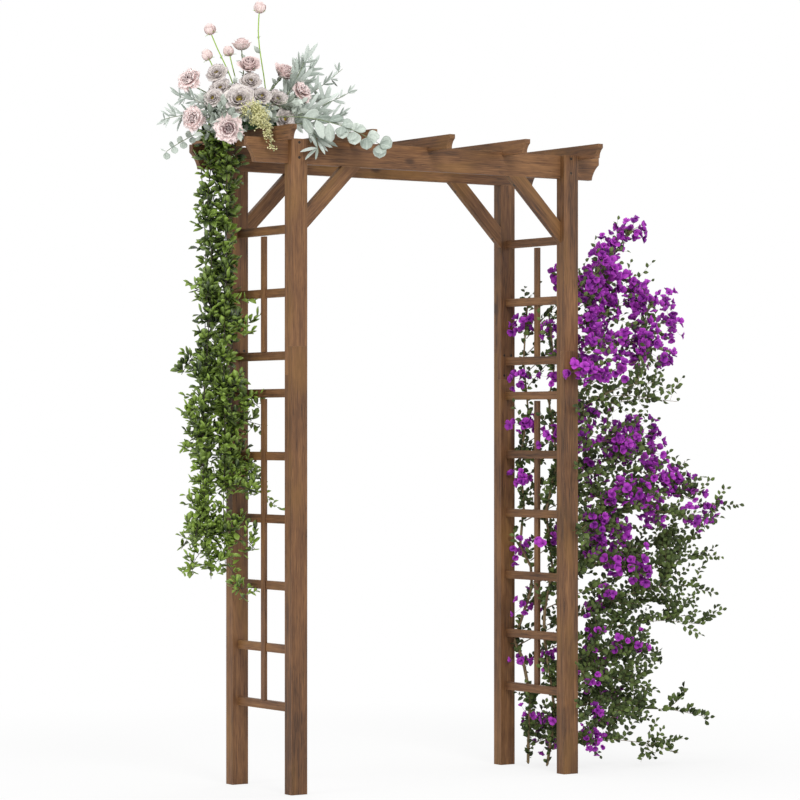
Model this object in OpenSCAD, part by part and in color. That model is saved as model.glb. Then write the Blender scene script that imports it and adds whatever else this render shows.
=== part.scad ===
// Garden wedding arch: two ladder frames joined by beams and rafters,
// dressed with a bouquet, a hanging garland and a flowering climber.
// The origin is on the ground in the middle of the four posts.
// X runs along the walkway's width, Y along its depth and Z up.

/* [Posts] */
// Height of each post, from the ground to the top of its cheek
post_h = 2125; // [2000:5:2300]
// Post width, across the walkway
post_w = 60; // [50:1:80]
// Post thickness, along the walkway
post_d = 42; // [36:1:60]
// Outside width over the posts
arch_w = 1164; // [1100:2:1300]
// Outside depth over the posts
arch_d = 410; // [380:2:460]

/* [Post splices] */
// Height of the shoulder where the upper post meets the lower one
splice_z = 1453; // [1445:1:1500]
// Length of the half lap at each splice
lap_len = 93; // [85:1:110]

/* [Slats] */
// Slat height
slat_h = 28; // [22:1:34]
// Slat thickness
slat_t = 18; // [15:1:24]
// Centre height of the top slat
top_slat_z = 1836; // [1800:2:1860]
// Centre height of the fourth slat, just under the splice
mid_slat_z = 1302; // [1290:2:1320]
// Pitch of the slats above and below the splice
slat_pitch = 206; // [180:2:220]
// Tenon height
tenon_h = 18; // [12:1:20]
// Tenon thickness
tenon_t = 9; // [6:1:12]
// Tenon length
tenon_len = 14; // [8:1:16]
// Centre slat width
centre_w = 24; // [18:1:32]
// Centre slat thickness
centre_t = 10; // [8:1:14]
// Depth of the notches that hold the centre slats
notch_depth = 6; // [3:0.5:7]
// Space between a centre slat and the slat above it
centre_gap = 4; // [1:0.5:8]

/* [Beams] */
// Beam height
beam_h = 80; // [70:1:100]
// Beam length
beam_len = 1426; // [1380:2:1600]
// How far the roof sits to the left of the posts' middle
roof_shift = 24; // [0:1:30]
// Height of the square nose at each end of a beam
beam_nose = 26; // [15:1:40]
// How far the lower corner of a beam is cut back
beam_cutback = 31; // [20:1:45]
// Radius of the hollow cut at a beam's ends
beam_hollow = 89; // [75:1:140]

/* [Rafters] */
// Number of rafters
rafter_n = 5; // [5]
// Rafter spacing, centre to centre
rafter_pitch = 309; // [300:1:310]
// Rafter thickness
rafter_t = 20; // [16:1:22]
// Rafter height
rafter_h = 47; // [40:1:60]
// How far a rafter runs past the posts at each end
rafter_over = 111; // [80:1:160]
// Depth of the notches that seat a rafter on the beams
rafter_notch = 13; // [8:1:20]
// Height of the square nose at each end of a rafter
rafter_nose = 14; // [8:1:20]
// How far the lower corner of a rafter is cut back
rafter_cutback = 18; // [10:1:24]
// Radius of the hollow cut at a rafter's ends
rafter_hollow = 37; // [34:1:80]

/* [Braces] */
// Leg of a brace's lower edge along the post and the beam
brace_leg = 220; // [160:2:300]
// Brace width
brace_w = 50; // [36:1:60]

/* [Screws] */
// Head diameter of a countersunk screw
screw_head = 9.6; // [8:0.1:11]
// Shank diameter of a screw
screw_shank = 4.5; // [3:0.1:5]
// Length of the screws through the splices and the beams
screw_len = 36; // [30:1:40]
// Length of the screws that hold the rafters
rafter_screw_len = 60; // [50:1:75]
// Length of the screws that hold the braces
brace_screw_len = 72; // [66:1:80]
// Height of the upper screw in a beam, down from the post's top
beam_screw_drop = 12; // [8:1:20]
// Pitch of the two screws in a beam
beam_screw_pitch = 49; // [30:1:55]
// Sideways pitch of the screws in a splice
splice_screw_x = 30; // [20:1:40]
// Upright pitch of the screws in a splice
splice_screw_z = 71; // [60:1:74]
// Drop of the upper splice screws below the shoulder
splice_screw_drop = 8; // [6:1:12]
// How far along a brace's lower edge its screws go in, square to the post
brace_screw_in = 30; // [25:1:34]
// Clearance round tenons, screws and notched crossings
fit = 0.2; // [0.1:0.05:0.4]

/* [Foliage] */
// Length of a garland leaf
garland_leaf_l = 25; // [15:1:30]
// Width of a garland leaf
garland_leaf_w = 13; // [8:1:16]
// Length of a climber leaf
climber_leaf_l = 20; // [12:1:26]
// Width of a climber leaf
climber_leaf_w = 11; // [6:1:14]
// Depth of a climber's flower trumpet
floret_depth = 19; // [12:1:22]
// Radius of a climber's flower trumpet
floret_r = 15; // [10:0.5:16]
// Radius of the climber's two woody stems
vine_r = 5; // [3:0.5:6]
// Radius of a garland strand
strand_r = 2; // [1.5:0.1:2.5]
// Radius of a side shoot at its foot
shoot_r = 1.5; // [1.2:0.1:1.8]
// Length of a long, narrow leaf in the bouquet
sage_leaf_l = 78; // [50:2:90]
// Width of a long, narrow leaf in the bouquet
sage_leaf_w = 12; // [8:1:14]
// Diameter of the bouquet's round leaves
round_leaf_d = 44; // [30:1:46]

/* [Bouquet] */
// Length of the foam block that holds the flowers
foam_l = 180; // [160:2:200]
// Depth of the foam block
foam_w = 120; // [110:2:130]
// Height of the foam block
foam_h = 62; // [50:1:66]
// Middle of the foam block, along its rafter
foam_y = -20; // [-30:1:0]
// Width of the ties that hold the foam on its rafter
tie_w = 8; // [5:0.5:12]
// Thickness of the ties
tie_t = 1.4; // [1:0.1:2]
// Radius of a flower stem
flower_stem_r = 2.2; // [1.5:0.1:2.5]
// Diameter of the widest carnation
carnation_d = 84; // [60:2:88]
// Diameter of the widest rose
rose_d = 58; // [44:2:60]
// Diameter of the widest pale bloom
pale_d = 84; // [60:2:88]
// Diameter of a rose bud
bud_d = 27; // [20:1:30]
// Radius of a seed in the seed spray
seed_r = 3.4; // [2:0.2:3.6]

/* [Hidden] */
GOLDEN = 137.5;
touch = 0.2;
slat_z = [for (i = [0:2]) top_slat_z - i * slat_pitch,
          for (i = [0:2]) mid_slat_z - i * slat_pitch,
          672, 467, 279];
half_d = post_d / 2;
post_x = (arch_w - post_w) / 2;
inner_x = arch_w / 2 - post_w;
outer_y = arch_d / 2;
inner_y = outer_y - post_d;
beam_y0 = inner_y;
beam_y1 = outer_y - half_d;
beam_y = (beam_y0 + beam_y1) / 2;
beam_z = post_h - beam_h;
lap_z = splice_z - lap_len;
rafter_z = post_h - rafter_notch;
brace_slope = brace_w * sqrt(2);
slat_count = len(slat_z);

WOOD = "#7a5236";
SPLIT_WOOD = "#704a30";
STEEL = "#2b2725";

module block(x0, x1, y0, y1, z0, z1) {
    translate([x0, y0, z0]) cube([x1 - x0, y1 - y0, z1 - z0]);
}

// Turns what is drawn at the back right corner into one of the four corners.
module corner(side, end) {
    mirror([side < 0 ? 1 : 0, 0, 0]) mirror([0, end < 0 ? 1 : 0, 0]) children();
}

// A countersunk screw that points along +Z, with its head's face at z = 0.
module screw(length, gap = 0) {
    rotate_extrude($fn = 24) polygon([
        [0, -gap], [screw_head / 2 + gap, -gap], [screw_head / 2 + gap, 0.6 + gap],
        [screw_shank / 2 + gap, 3.4 + gap], [screw_shank / 2 + gap, length - 4],
        [0, length + gap]]);
}

// Screws, each drawn once at the back right corner.
module beam_screw_pair(gap = 0) {
    for (drop = [beam_screw_drop, beam_screw_drop + beam_screw_pitch])
        translate([post_x, outer_y, post_h - drop]) rotate([90, 0, 0]) screw(screw_len, gap);
}

module splice_screw_set(gap = 0) {
    for (x = [-1, 1], drop = [splice_screw_drop, splice_screw_drop + splice_screw_z])
        translate([post_x + x * splice_screw_x / 2, inner_y, splice_z - drop])
            rotate([-90, 0, 0]) screw(screw_len, gap);
}

module brace_screw_pair(gap = 0) {
    for (at = [[inner_x - brace_screw_in, beam_z - brace_leg + brace_screw_in],
               [inner_x - brace_leg + brace_screw_in, beam_z - brace_screw_in]])
        translate([at[0], beam_y, at[1]]) rotate([0, 45, 0]) screw(brace_screw_len, gap);
}

function rafter_x(i) = -roof_shift + (i - (rafter_n - 1) / 2) * rafter_pitch;

// Profile of a beam or rafter with its ends hollowed out below a square nose.
module hollowed_profile(length, height, nose, cutback, radius) {
    drop = height - nose;
    chord = norm([cutback, drop]);
    reach = sqrt(radius * radius - chord * chord / 4);
    centre = [length / 2 - cutback / 2 + reach * drop / chord,
              drop / 2 - reach * cutback / chord];
    difference() {
        translate([-length / 2, 0]) square([length, height]);
        for (m = [0, 1]) mirror([m, 0]) translate(centre) circle(r = radius, $fn = 96);
    }
}

// Mortise for one slat in the inner face of the back right post.
module mortise(z) {
    block(post_x - tenon_t / 2 - fit, post_x + tenon_t / 2 + fit,
          inner_y - 1, inner_y + tenon_len + fit,
          z - tenon_h / 2 - fit, z + tenon_h / 2 + fit);
}

// Everything that is cut out of the back right post.
module post_cuts() {
    for (z = slat_z) mortise(z);
    block(inner_x - 1, arch_w / 2 + 1, inner_y - 1, beam_y1, beam_z, post_h + 1);
    beam_screw_pair(fit);
    splice_screw_set(fit);
    brace_screw_pair(fit);
}

module post_upper(side, end) {
    color(WOOD) corner(side, end) difference() {
        union() {
            block(inner_x, arch_w / 2, inner_y, outer_y, splice_z, post_h);
            block(inner_x, arch_w / 2, inner_y, beam_y1, lap_z, splice_z);
        }
        post_cuts();
    }
}

module post_lower(side, end) {
    color(SPLIT_WOOD) corner(side, end) difference() {
        union() {
            block(inner_x, arch_w / 2, inner_y, outer_y, 0, lap_z);
            block(inner_x, arch_w / 2, beam_y1, outer_y, lap_z, splice_z);
        }
        post_cuts();
    }
}

// A beam lies in the rebates of its two posts.
module beam(end) {
    color(WOOD) difference() {
        mirror([0, end < 0 ? 1 : 0, 0]) translate([-roof_shift, beam_y1, beam_z])
            rotate([90, 0, 0]) linear_extrude(beam_y1 - beam_y0)
                hollowed_profile(beam_len, beam_h, beam_nose, beam_cutback, beam_hollow);
        for (side = [-1, 1]) corner(side, end) {
            beam_screw_pair(fit);
            brace_screw_pair(fit);
        }
        for (i = [0:rafter_n - 1]) rafter_screw(i, end, fit);
    }
}

module rafter_screw(i, end, gap = 0) {
    translate([rafter_x(i), end * beam_y, rafter_z + rafter_h])
        rotate([180, 0, 0]) screw(rafter_screw_len, gap);
}

module rafter(i) {
    color(WOOD) difference() {
        translate([rafter_x(i) - rafter_t / 2, 0, rafter_z])
            rotate([90, 0, 90]) linear_extrude(rafter_t)
                hollowed_profile(arch_d + 2 * rafter_over, rafter_h, rafter_nose,
                                 rafter_cutback, rafter_hollow);
        for (end = [-1, 1]) {
            mirror([0, end < 0 ? 1 : 0, 0])
                block(rafter_x(i) - rafter_t, rafter_x(i) + rafter_t,
                      beam_y0 - fit, beam_y1 + fit, rafter_z - 1, post_h);
            rafter_screw(i, end, fit);
        }
    }
}

// A brace fills the corner between a post and its beam at 45 degrees.
module brace(side, end) {
    color(WOOD) corner(side, end) difference() {
        translate([inner_x, beam_y1, beam_z]) rotate([90, 0, 0])
            linear_extrude(beam_y1 - beam_y0) polygon([
                [0, -brace_leg], [0, brace_slope - brace_leg],
                [brace_slope - brace_leg, 0], [-brace_leg, 0]]);
        brace_screw_pair(fit);
    }
}

// Slats between which a centre slat runs; the ones inside the run are notched.
upper_run = [2, 0];
lower_run = [8, 3];
centre_x0 = post_x + slat_t / 2 - notch_depth;
centre_runs = [upper_run, lower_run];

function run_z0(run) = slat_z[run[0]] + slat_h / 2;
function run_z1(run) = slat_z[run[1]] - slat_h / 2 - centre_gap;
function is_crossed(i) = len([for (run = centre_runs) if (i < run[0] && i > run[1]) i]) > 0;

module slat(side, i) {
    z0 = slat_z[i] - slat_h / 2;
    color(WOOD) corner(side, 1) difference() {
        union() {
            block(post_x - slat_t / 2, post_x + slat_t / 2, -inner_y, inner_y, z0, z0 + slat_h);
            block(post_x - tenon_t / 2, post_x + tenon_t / 2,
                  -inner_y - tenon_len, inner_y + tenon_len,
                  slat_z[i] - tenon_h / 2, slat_z[i] + tenon_h / 2);
        }
        if (is_crossed(i))
            block(centre_x0, post_x + slat_t, -centre_w / 2 - fit, centre_w / 2 + fit,
                  z0 - 1, z0 + slat_h + 1);
    }
}

module centre_slat(side, run) {
    color(SPLIT_WOOD) corner(side, 1)
        block(centre_x0, centre_x0 + centre_t, -centre_w / 2, centre_w / 2,
              run_z0(run), run_z1(run));
}

module front_left_post_upper() { post_upper(-1, -1); }
module front_left_post_lower() { post_lower(-1, -1); }
module front_right_post_upper() { post_upper(1, -1); }
module front_right_post_lower() { post_lower(1, -1); }
module back_left_post_upper() { post_upper(-1, 1); }
module back_left_post_lower() { post_lower(-1, 1); }
module back_right_post_upper() { post_upper(1, 1); }
module back_right_post_lower() { post_lower(1, 1); }

module at_corners() {
    for (side = [-1, 1], end = [-1, 1]) corner(side, end) children();
}

module beam_screws() { color(STEEL) at_corners() beam_screw_pair(); }
module splice_screws() { color(STEEL) at_corners() splice_screw_set(); }
module brace_screws() { color(STEEL) at_corners() brace_screw_pair(); }
module rafter_screws() {
    color(STEEL) for (i = [0:rafter_n - 1], end = [-1, 1]) rafter_screw(i, end);
}

function unit(v) = v / norm(v);
function square_to(d) = unit(cross(d, abs(d[2]) < 0.8 ? [0, 0, 1] : [1, 0, 0]));

// Direction square to d, turned by an angle round it.
function around(d, angle) =
    let (a = square_to(d), b = cross(d, a)) cos(angle) * a + sin(angle) * b;

// Part of v that is square to d, at unit length.
function away(v, d) = let (w = v - (v * d) * d) norm(w) < 0.01 ? square_to(d) : unit(w);

// A stem is [points, radius at its foot, radius at its tip].
function arc_points(a, b, c, n) =
    [for (i = [0:n]) let (t = i / n) (1 - t) * (1 - t) * a + 2 * t * (1 - t) * b + t * t * c];
function segment(stem, t) = min(floor(t * (len(stem[0]) - 1)), len(stem[0]) - 2);
function spot(stem, t) =
    let (i = segment(stem, t), k = t * (len(stem[0]) - 1) - i)
    (1 - k) * stem[0][i] + k * stem[0][i + 1];
function heading(stem, t) =
    let (i = segment(stem, t)) unit(stem[0][i + 1] - stem[0][i]);
function thickness(stem, t) = stem[1] + (stem[2] - stem[1]) * t;

// Share of a rising or falling stem's points at which it passes a height.
function at_height(stem, z) =
    let (n = len(stem[0]) - 1,
         hits = [for (i = [0:n - 1])
             let (z0 = stem[0][i][2], z1 = stem[0][i + 1][2])
             if ((z0 - z) * (z1 - z) <= 0) (i + (z - z0) / (z1 - z0)) / n])
    len(hits) > 0 ? hits[0] : 1;

// A side shoot that starts clear of the stem that carries it.
function shoot(stem, t, bend, tip, r0, r1, n = 4) =
    let (foot = spot(stem, t), d = heading(stem, t), h = unit(bend - foot), out = away(h, d),
         lean = h * out,
         start = foot + out * (thickness(stem, t) + touch + r0 * sqrt(max(0, 1 - lean * lean))))
    [arc_points(start, bend, tip, n), r0, r1];

// A form is [points, faces]. Many forms make one polyhedron of separate shells.
module shells(forms) {
    starts = [for (i = 0, n = 0; i < len(forms); n = n + len(forms[i][0]), i = i + 1) n];
    polyhedron(
        points = [for (form = forms) each form[0]],
        faces = [for (i = [0:len(forms) - 1], face = forms[i][1]) [for (v = face) v + starts[i]]]);
}

// A tapering tube along a stem's points.
function tube(stem, sides) =
    let (n = len(stem[0]), whole = unit(stem[0][n - 1] - stem[0][0]), ref = square_to(whole))
    [[for (i = [0:n - 1], k = [0:sides - 1])
        let (t = i / (n - 1),
             d = unit(stem[0][min(i + 1, n - 1)] - stem[0][max(i - 1, 0)]),
             a = unit(cross(d, ref)), b = cross(d, a), turn = 360 * k / sides)
        stem[0][i] + thickness(stem, t) * (cos(turn) * a + sin(turn) * b)],
     concat(
        [for (k = [1:sides - 2]) [0, k, k + 1]],
        [for (k = [1:sides - 2]) let (e = (n - 1) * sides) [e, e + k + 1, e + k]],
        [for (i = [0:n - 2], k = [0:sides - 1], half = [0, 1])
            let (a = i * sides + k, b = i * sides + (k + 1) % sides)
            half == 0 ? [a, a + sides, b] : [b, a + sides, b + sides]])];

// A small leaf: a thin, folded blade, broadest below its middle.
function leaf(foot, dir, up, length, width) =
    let (mid = foot + 0.42 * length * dir, across = cross(dir, up) * width / 2)
    [[foot, foot + length * dir, mid + across + 0.18 * width * up, mid - across + 0.18 * width * up],
     [[0, 3, 2], [1, 2, 3], [0, 1, 3], [0, 2, 1]]];

// A long, narrow leaf that droops towards its tip.
function long_leaf(foot, dir, up, length, width) =
    let (mid = foot + 0.5 * length * dir + 0.06 * length * up,
         across = cross(dir, up) * width / 2)
    [[foot, foot + length * dir - 0.04 * length * up, mid + across, mid - across,
      mid + 1.2 * up, mid - 0.8 * up],
     [for (end = [0, 1], k = [0:3])
        let (ring = [2, 5, 3, 4], a = ring[k], b = ring[(k + 1) % 4])
        end == 0 ? [0, a, b] : [1, b, a]]];

// A round, slightly dished leaf.
function round_leaf(foot, dir, up, size) =
    let (across = cross(dir, up), centre = foot + 0.52 * size * dir)
    [[for (k = [0:5]) centre + size / 2 * (cos(60 * k + 180) * dir + sin(60 * k + 180) * across)
         + (k == 0 ? 0 : 0.06 * size) * up, centre + 0.9 * up, centre - 0.7 * up],
     [for (k = [0:5], face = [6, 7])
        face == 6 ? [6, k, (k + 1) % 6] : [7, (k + 1) % 6, k]]];

// A papery trumpet of three bracts, with an open mouth.
function floret(foot, dir, turn, depth, radius) =
    [concat([foot, foot + 0.6 * depth * dir],
        [for (k = [0:5]) foot + dir * depth * (k % 2 == 0 ? 1 : 0.84)
            + around(dir, turn + 60 * k) * radius * (k % 2 == 0 ? 1 : 0.62)]),
     [for (k = [0:5], face = [0, 1])
        face == 0 ? [0, 2 + k, 2 + (k + 1) % 6] : [1, 2 + (k + 1) % 6, 2 + k]]];

// A seed: a small octahedron that stands on its point.
function seed_form(at, out, along, r) =
    let (across = cross(out, along))
    [[at + r * along, at - r * along, at + r * across, at - r * across, at + r * out, at - r * out],
     [for (end = [4, 5], k = [0:3])
        let (ring = [0, 2, 1, 3], a = ring[k], b = ring[(k + 1) % 4])
        end == 4 ? [end, a, b] : [end, b, a]]];

// Leaves set round a stem, each one turned on from the last by the golden angle.
// The stem's own place is added to test that a leaf is clear of the timbers.
function leaves_on(stem, n, t0, length, width, turn = 0, lift = 0.25, place = [0, 0, 0]) =
    let (vary = rands(0.78, 1.18, n, round(1000 + turn)))
    [for (i = [0:n - 1])
        let (t = t0 + (0.99 - t0) * (i + 0.5) / n, d = heading(stem, t),
             out = around(d, turn + GOLDEN * i), dir = unit(0.5 * d + out + [0, 0, lift]),
             foot = spot(stem, t) + out * (thickness(stem, t) + touch),
             up = away(dir[2] < 0.95 ? [0, 0, 1] : d, dir))
        if (is_free(place + foot + 0.75 * length * dir, width / 2) && is_free(place + foot, 0))
            leaf(foot, dir, up, length * vary[i], width * vary[i])];

// Boxes of the timbers near the plants, for keeping leaves and flowers off them.
timbers = concat(
    [for (s = [-1, 1], e = [-1, 1]) span_box([s * post_x, e * (inner_y + half_d), post_h / 2],
                                            [post_w, post_d, post_h])],
    [for (s = [-1, 1], z = slat_z) span_box([s * post_x, 0, z], [slat_t, 2 * inner_y, slat_h])],
    [for (s = [-1, 1], run = centre_runs)
        span_box([s * (centre_x0 + centre_t / 2), 0, (run_z0(run) + run_z1(run)) / 2],
                 [centre_t, centre_w, run_z1(run) - run_z0(run)])],
    [for (e = [-1, 1]) span_box([-roof_shift, e * beam_y, beam_z + beam_h / 2],
                                [beam_len, beam_y1 - beam_y0, beam_h])],
    [for (i = [0:rafter_n - 1]) span_box([rafter_x(i), 0, rafter_z + rafter_h / 2],
                                         [rafter_t, arch_d + 2 * rafter_over, rafter_h])]);
function span_box(centre, size) = [centre - size / 2, centre + size / 2];
function is_near(p, b, r) =
    p[0] > b[0][0] - r && p[0] < b[1][0] + r && p[1] > b[0][1] - r && p[1] < b[1][1] + r
    && p[2] > b[0][2] - r && p[2] < b[1][2] + r;
function is_free(p, r) = len([for (b = timbers) if (is_near(p, b, r)) 1]) == 0;

// The garland's strands hang from the back of the foam. Points are from the back
// left post's outer corner, and heights are from the post's top. The first two
// points of each strand are from the first rafter instead.
foam_z = touch;
garland_at = [-arch_w / 2, outer_y, post_h];
foam_back = foam_w / 2 + foam_y - outer_y + touch;
roof_x = rafter_x(0) - garland_at[0];
strands = [for (line = [
    [[-40, 46], [-44, -120, 10], [-112, -95, -40], [-116, -70, -200], [-88, -55, -340], [-98, -60, -520],
     [-118, -70, -720], [-126, -60, -900], [-120, -50, -1100], [-108, -60, -1290], [-88, -50, -1440]],
    [[-24, 42], [-20, -128, -20], [-76, -130, -100], [-64, -110, -260], [-58, -100, -400], [-70, -105, -600],
     [-76, -110, -800], [-64, -105, -1000], [-72, -100, -1180], [-54, -85, -1400]],
    [[34, 50], [34, -112, 10], [-24, -90, -40], [-30, -55, -200], [-38, -50, -380], [-34, -55, -560],
     [-40, -55, -760], [-30, -55, -960], [-36, -45, -1140]],
    [[-66, 56], [-64, -92, 30], [-110, -42, 8], [-104, -17, 6], [-98, 4, -30], [-84, 5, -200], [-66, 20, -380],
     [-76, 10, -560], [-80, 0, -760], [-90, 20, -960], [-84, 10, -1160], [-76, 5, -1330]]])
    let (x = roof_x + line[0][0], z = line[0][1])
    [concat([[x, foam_back, z], [x, foam_back + 12, z], [roof_x, 0, 0] + line[1]],
            [for (i = [2:len(line) - 1]) line[i]]),
     strand_r, strand_r / 2]];

// Garland shoots: strand, height, bend and tip.
garland_shoots = [for (s = [
    [0, -60, [-150, -110, -40], [-160, -130, -120]], [0, -240, [-135, -100, -220], [-145, -115, -290]],
    [0, -470, [-120, -90, -460], [-140, -105, -520]], [0, -870, [-170, -80, -856], [-215, -90, -905]],
    [0, -960, [-180, -80, -960], [-222, -90, -1012]], [0, -1190, [-150, -80, -1230], [-180, -85, -1330]],
    [0, -1330, [-150, -80, -1330], [-196, -90, -1410]],
    [1, -90, [-30, -140, -130], [20, -150, -160]], [1, -560, [-30, -130, -590], [-20, -150, -640]],
    [1, -780, [-20, -140, -830], [40, -150, -870]], [1, -1120, [-20, -135, -1130], [45, -150, -1150]],
    [1, -1250, [-20, -130, -1290], [25, -150, -1340]], [1, -1380, [-20, -120, -1440], [-5, -140, -1510]],
    [2, -922, [0, -90, -900], [62, -140, -930]], [2, -1018, [0, -100, -1070], [60, -140, -1100]],
    [3, -130, [-120, 40, -170], [-150, 50, -230]], [3, -660, [-120, 30, -700], [-150, 40, -760]],
    [3, -1236, [-120, 30, -1280], [-150, 40, -1340]]])
    shoot(strands[s[0]], at_height(strands[s[0]], s[1]), s[2], s[3], shoot_r * 0.7, 0.6, 3)];

// The climber's woody stems run up the outer side of the right ladder, each
// point given as a depth and a height.
vine_x = post_x + slat_t / 2 + touch + vine_r;
vines = [for (line = [
    [[62, 12], [60, 120], [48, 238], [95, 385], [143, 432], [107, 507], [39, 631], [44, 704], [113, 774],
     [84, 920], [112, 1080], [58, 1250], [92, 1420], [66, 1620]],
    [[-48, 12], [-96, 200], [-60, 356], [-30, 470], [-34, 560], [-84, 700], [-38, 900], [-112, 1080],
     [-56, 1280], [-92, 1400], [-60, 1580]]])
    [[for (p = line) [vine_x, p[0], p[1]]], vine_r, vine_r / 2]];

// Climber canes: vine, height at which it leaves, bend, tip, and 1 where it flowers.
// Points are from the middle of the right ladder's outer side, on the ground.
climber_at = [arch_w / 2, 0, 0];
cane_plan = [
    [0, 1600, [210, 10, 1660], [385, -20, 1900], 1], [1, 1560, [90, -64, 1700], [262, -60, 1745], 1],
    [0, 1500, [160, 60, 1710], [330, 60, 1690], 1], [1, 1450, [150, -10, 1630], [320, 24, 1590], 1],
    [0, 1440, [280, 80, 1730], [494, 40, 1672], 1], [0, 1380, [330, 30, 1700], [585, 30, 1640], 1],
    [1, 1350, [340, -20, 1610], [560, -30, 1560], 1], [1, 1300, [250, -70, 1540], [420, -90, 1500], 1],
    [1, 1230, [260, -110, 1460], [440, -130, 1430], 1], [0, 1330, [200, 120, 1540], [360, 120, 1470], 1],
    [1, 1400, [158, -250, 1430], [-30, -262, 1388], 1], [0, 1000, [140, 20, 1230], [300, 10, 1140], 1],
    [0, 1080, [320, 110, 1270], [570, 90, 1160], 1], [1, 1060, [240, -60, 1210], [450, -60, 1100], 1],
    [0, 960, [290, 60, 1150], [530, 40, 1050], 1], [1, 980, [300, -80, 1110], [590, -120, 970], 1],
    [1, 880, [360, -130, 1060], [680, -120, 895], 1], [0, 860, [260, 50, 1010], [480, 40, 925], 1],
    [1, 820, [270, -110, 970], [560, -150, 860], 1], [1, 740, [130, -90, 900], [260, -80, 860], 1],
    [1, 620, [150, -110, 780], [340, -120, 690], 1], [0, 720, [200, 60, 870], [400, 60, 820], 1],
    [1, 1180, [210, -120, 1370], [420, -150, 1350], 0], [0, 1180, [300, 60, 1360], [540, 40, 1290], 0],
    [0, 1130, [360, 80, 1340], [660, 60, 1285], 0], [0, 640, [330, 40, 780], [740, 30, 790], 0],
    [1, 560, [340, -100, 710], [640, -80, 725], 0], [1, 500, [300, -120, 640], [600, -120, 630], 0],
    [0, 540, [280, 120, 730], [560, 120, 735], 0], [0, 420, [320, 40, 610], [600, 20, 560], 0],
    [1, 420, [330, -100, 550], [640, -90, 486], 0], [1, 320, [160, -120, 460], [330, -120, 395], 0],
    [0, 250, [300, 60, 410], [580, 60, 345], 0], [1, 240, [160, -100, 350], [330, -100, 298], 0],
    [0, 140, [280, 70, 250], [500, 60, 200], 0], [1, 150, [330, -90, 250], [690, -90, 148], 0],
    [1, 70, [240, -130, 140], [470, -180, 40], 0], [1, 90, [60, -140, 140], [120, -150, 100], 1],
    [0, 60, [70, 90, 120], [160, 100, 70], 1]];
canes = [for (p = cane_plan)
    shoot(vines[p[0]], at_height(vines[p[0]], p[1]), climber_at + p[2], climber_at + p[3],
          shoot_r, shoot_r / 3)];
function flowers(i) = cane_plan[i][4] == 1;

// Two twigs leave each cane, one to either side of it.
twig_l = 90;
twigs = [for (i = [0:len(canes) - 1], k = [0, 1])
    let (cane = canes[i], t = 0.4 + 0.32 * k, d = heading(cane, t),
         out = around(d, GOLDEN * i + 180 * k), foot = spot(cane, t))
    shoot(cane, t, foot + twig_l * (0.35 * out + 0.2 * d),
          foot + twig_l * (0.65 * out + 0.55 * d + [0, 0, 0.3]), shoot_r * 0.6, 0.5, 2)];

// Heights at which flowers sit right on the two vines: vine and height.
vine_clusters = [[0, 1536], [0, 1366], [0, 1196], [0, 996], [0, 760], [0, 566], [0, 370], [0, 180],
                 [1, 1526], [1, 1364], [1, 1150], [1, 784], [1, 400], [1, 180]];

// A cluster of three florets round a stem, turned and sized a little at random.
function cluster(stem, t, turn) =
    let (d = heading(stem, t), vary = rands(0.8, 1.1, 3, round(700 + turn)))
    [for (k = [0:2])
        let (out = around(d, turn + 120 * k), dir = unit(out + 0.35 * d),
             foot = spot(stem, t) + out * (thickness(stem, t) + touch))
        if (is_free(foot + dir * floret_depth * 0.8, floret_r + 2))
            floret(foot, dir, turn + 40 * k, floret_depth * vary[k], floret_r * vary[k])];

// The foam block is tied on the first rafter, and the bouquet is set out from
// the middle of that rafter's top.
bouquet_at = [rafter_x(0), 0, rafter_z + rafter_h];

// Blooms: middle, size as a share of the widest one of its kind, and where along
// the foam its stem starts.
carnations = [[[197, -60, 143], 0.8, 70], [[-171, 60, 170], 0.84, -78], [[-191, 0, 35], 0.88, 0],
    [[-132, -128, -6], 1, -66]];
roses = [[[7, 20, 289], 0.86, 10], [[8, -30, 222], 1, 2], [[152, -20, 206], 1, 56]];
pale_blooms = [[[-97, 9, 192], 0.7, -40], [[-99, -20, 140], 0.68, -52], [[-143, -44, 101], 0.64, -74],
    [[-83, -112, 97], 1, -36], [[-5, -60, 165], 0.68, -14], [[18, -92, 114], 0.64, 20],
    [[84, -84, 108], 0.78, 42], [[94, -116, 39], 0.72, 46]];
buds = [[[53, -20, 405], 1, 80], [[-113, 20, 326], 1, -26], [[-99, 60, 247], 0.95, -86],
    [[-26, 44, 264], 0.95, -10]];

// Way that a bloom faces: away from the foam, and partly to the front left.
function facing(at, front) = unit(unit(at - [0, foam_y, 20]) * (1 - front) + [-0.5, -0.8, 0.2] * front);

// Foot of a flower stem on the foam: its top, or a side for what hangs low.
function foot_of(at, x) =
    at[2] > 60 ? [x, foam_y + 0.42 * (at[1] - foam_y), foam_z + foam_h + touch]
    : at[0] < -150 ? [-foam_l / 2 - touch, foam_y + 0.4 * (at[1] - foam_y), foam_z + foam_h / 2]
    : [x, foam_y - foam_w / 2 - touch, foam_z + foam_h / 2];
function leaving(at) = at[2] > 60 ? [0, 0, 1] : at[0] < -150 ? [-1, 0, 0] : [0, -1, 0];

// A flower stem leaves the foam squarely and ends square to its bloom.
function flower_stem(f, front, drop) =
    let (at = f[0], dir = facing(at, front), foot = foot_of(at, f[2]), out = leaving(at),
         end = at - dir * (drop * f[1] + touch),
         reach = norm(end - foot), a = foot + 8 * out, b = a + 0.4 * reach * out,
         d = end - 4 * dir, c = d - 0.35 * reach * dir)
    [concat([foot], [for (i = [0:6])
        let (t = i / 6, s = 1 - t) s * s * s * a + 3 * t * s * s * b + 3 * t * t * s * c + t * t * t * d],
        [end]), flower_stem_r, flower_stem_r];

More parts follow.
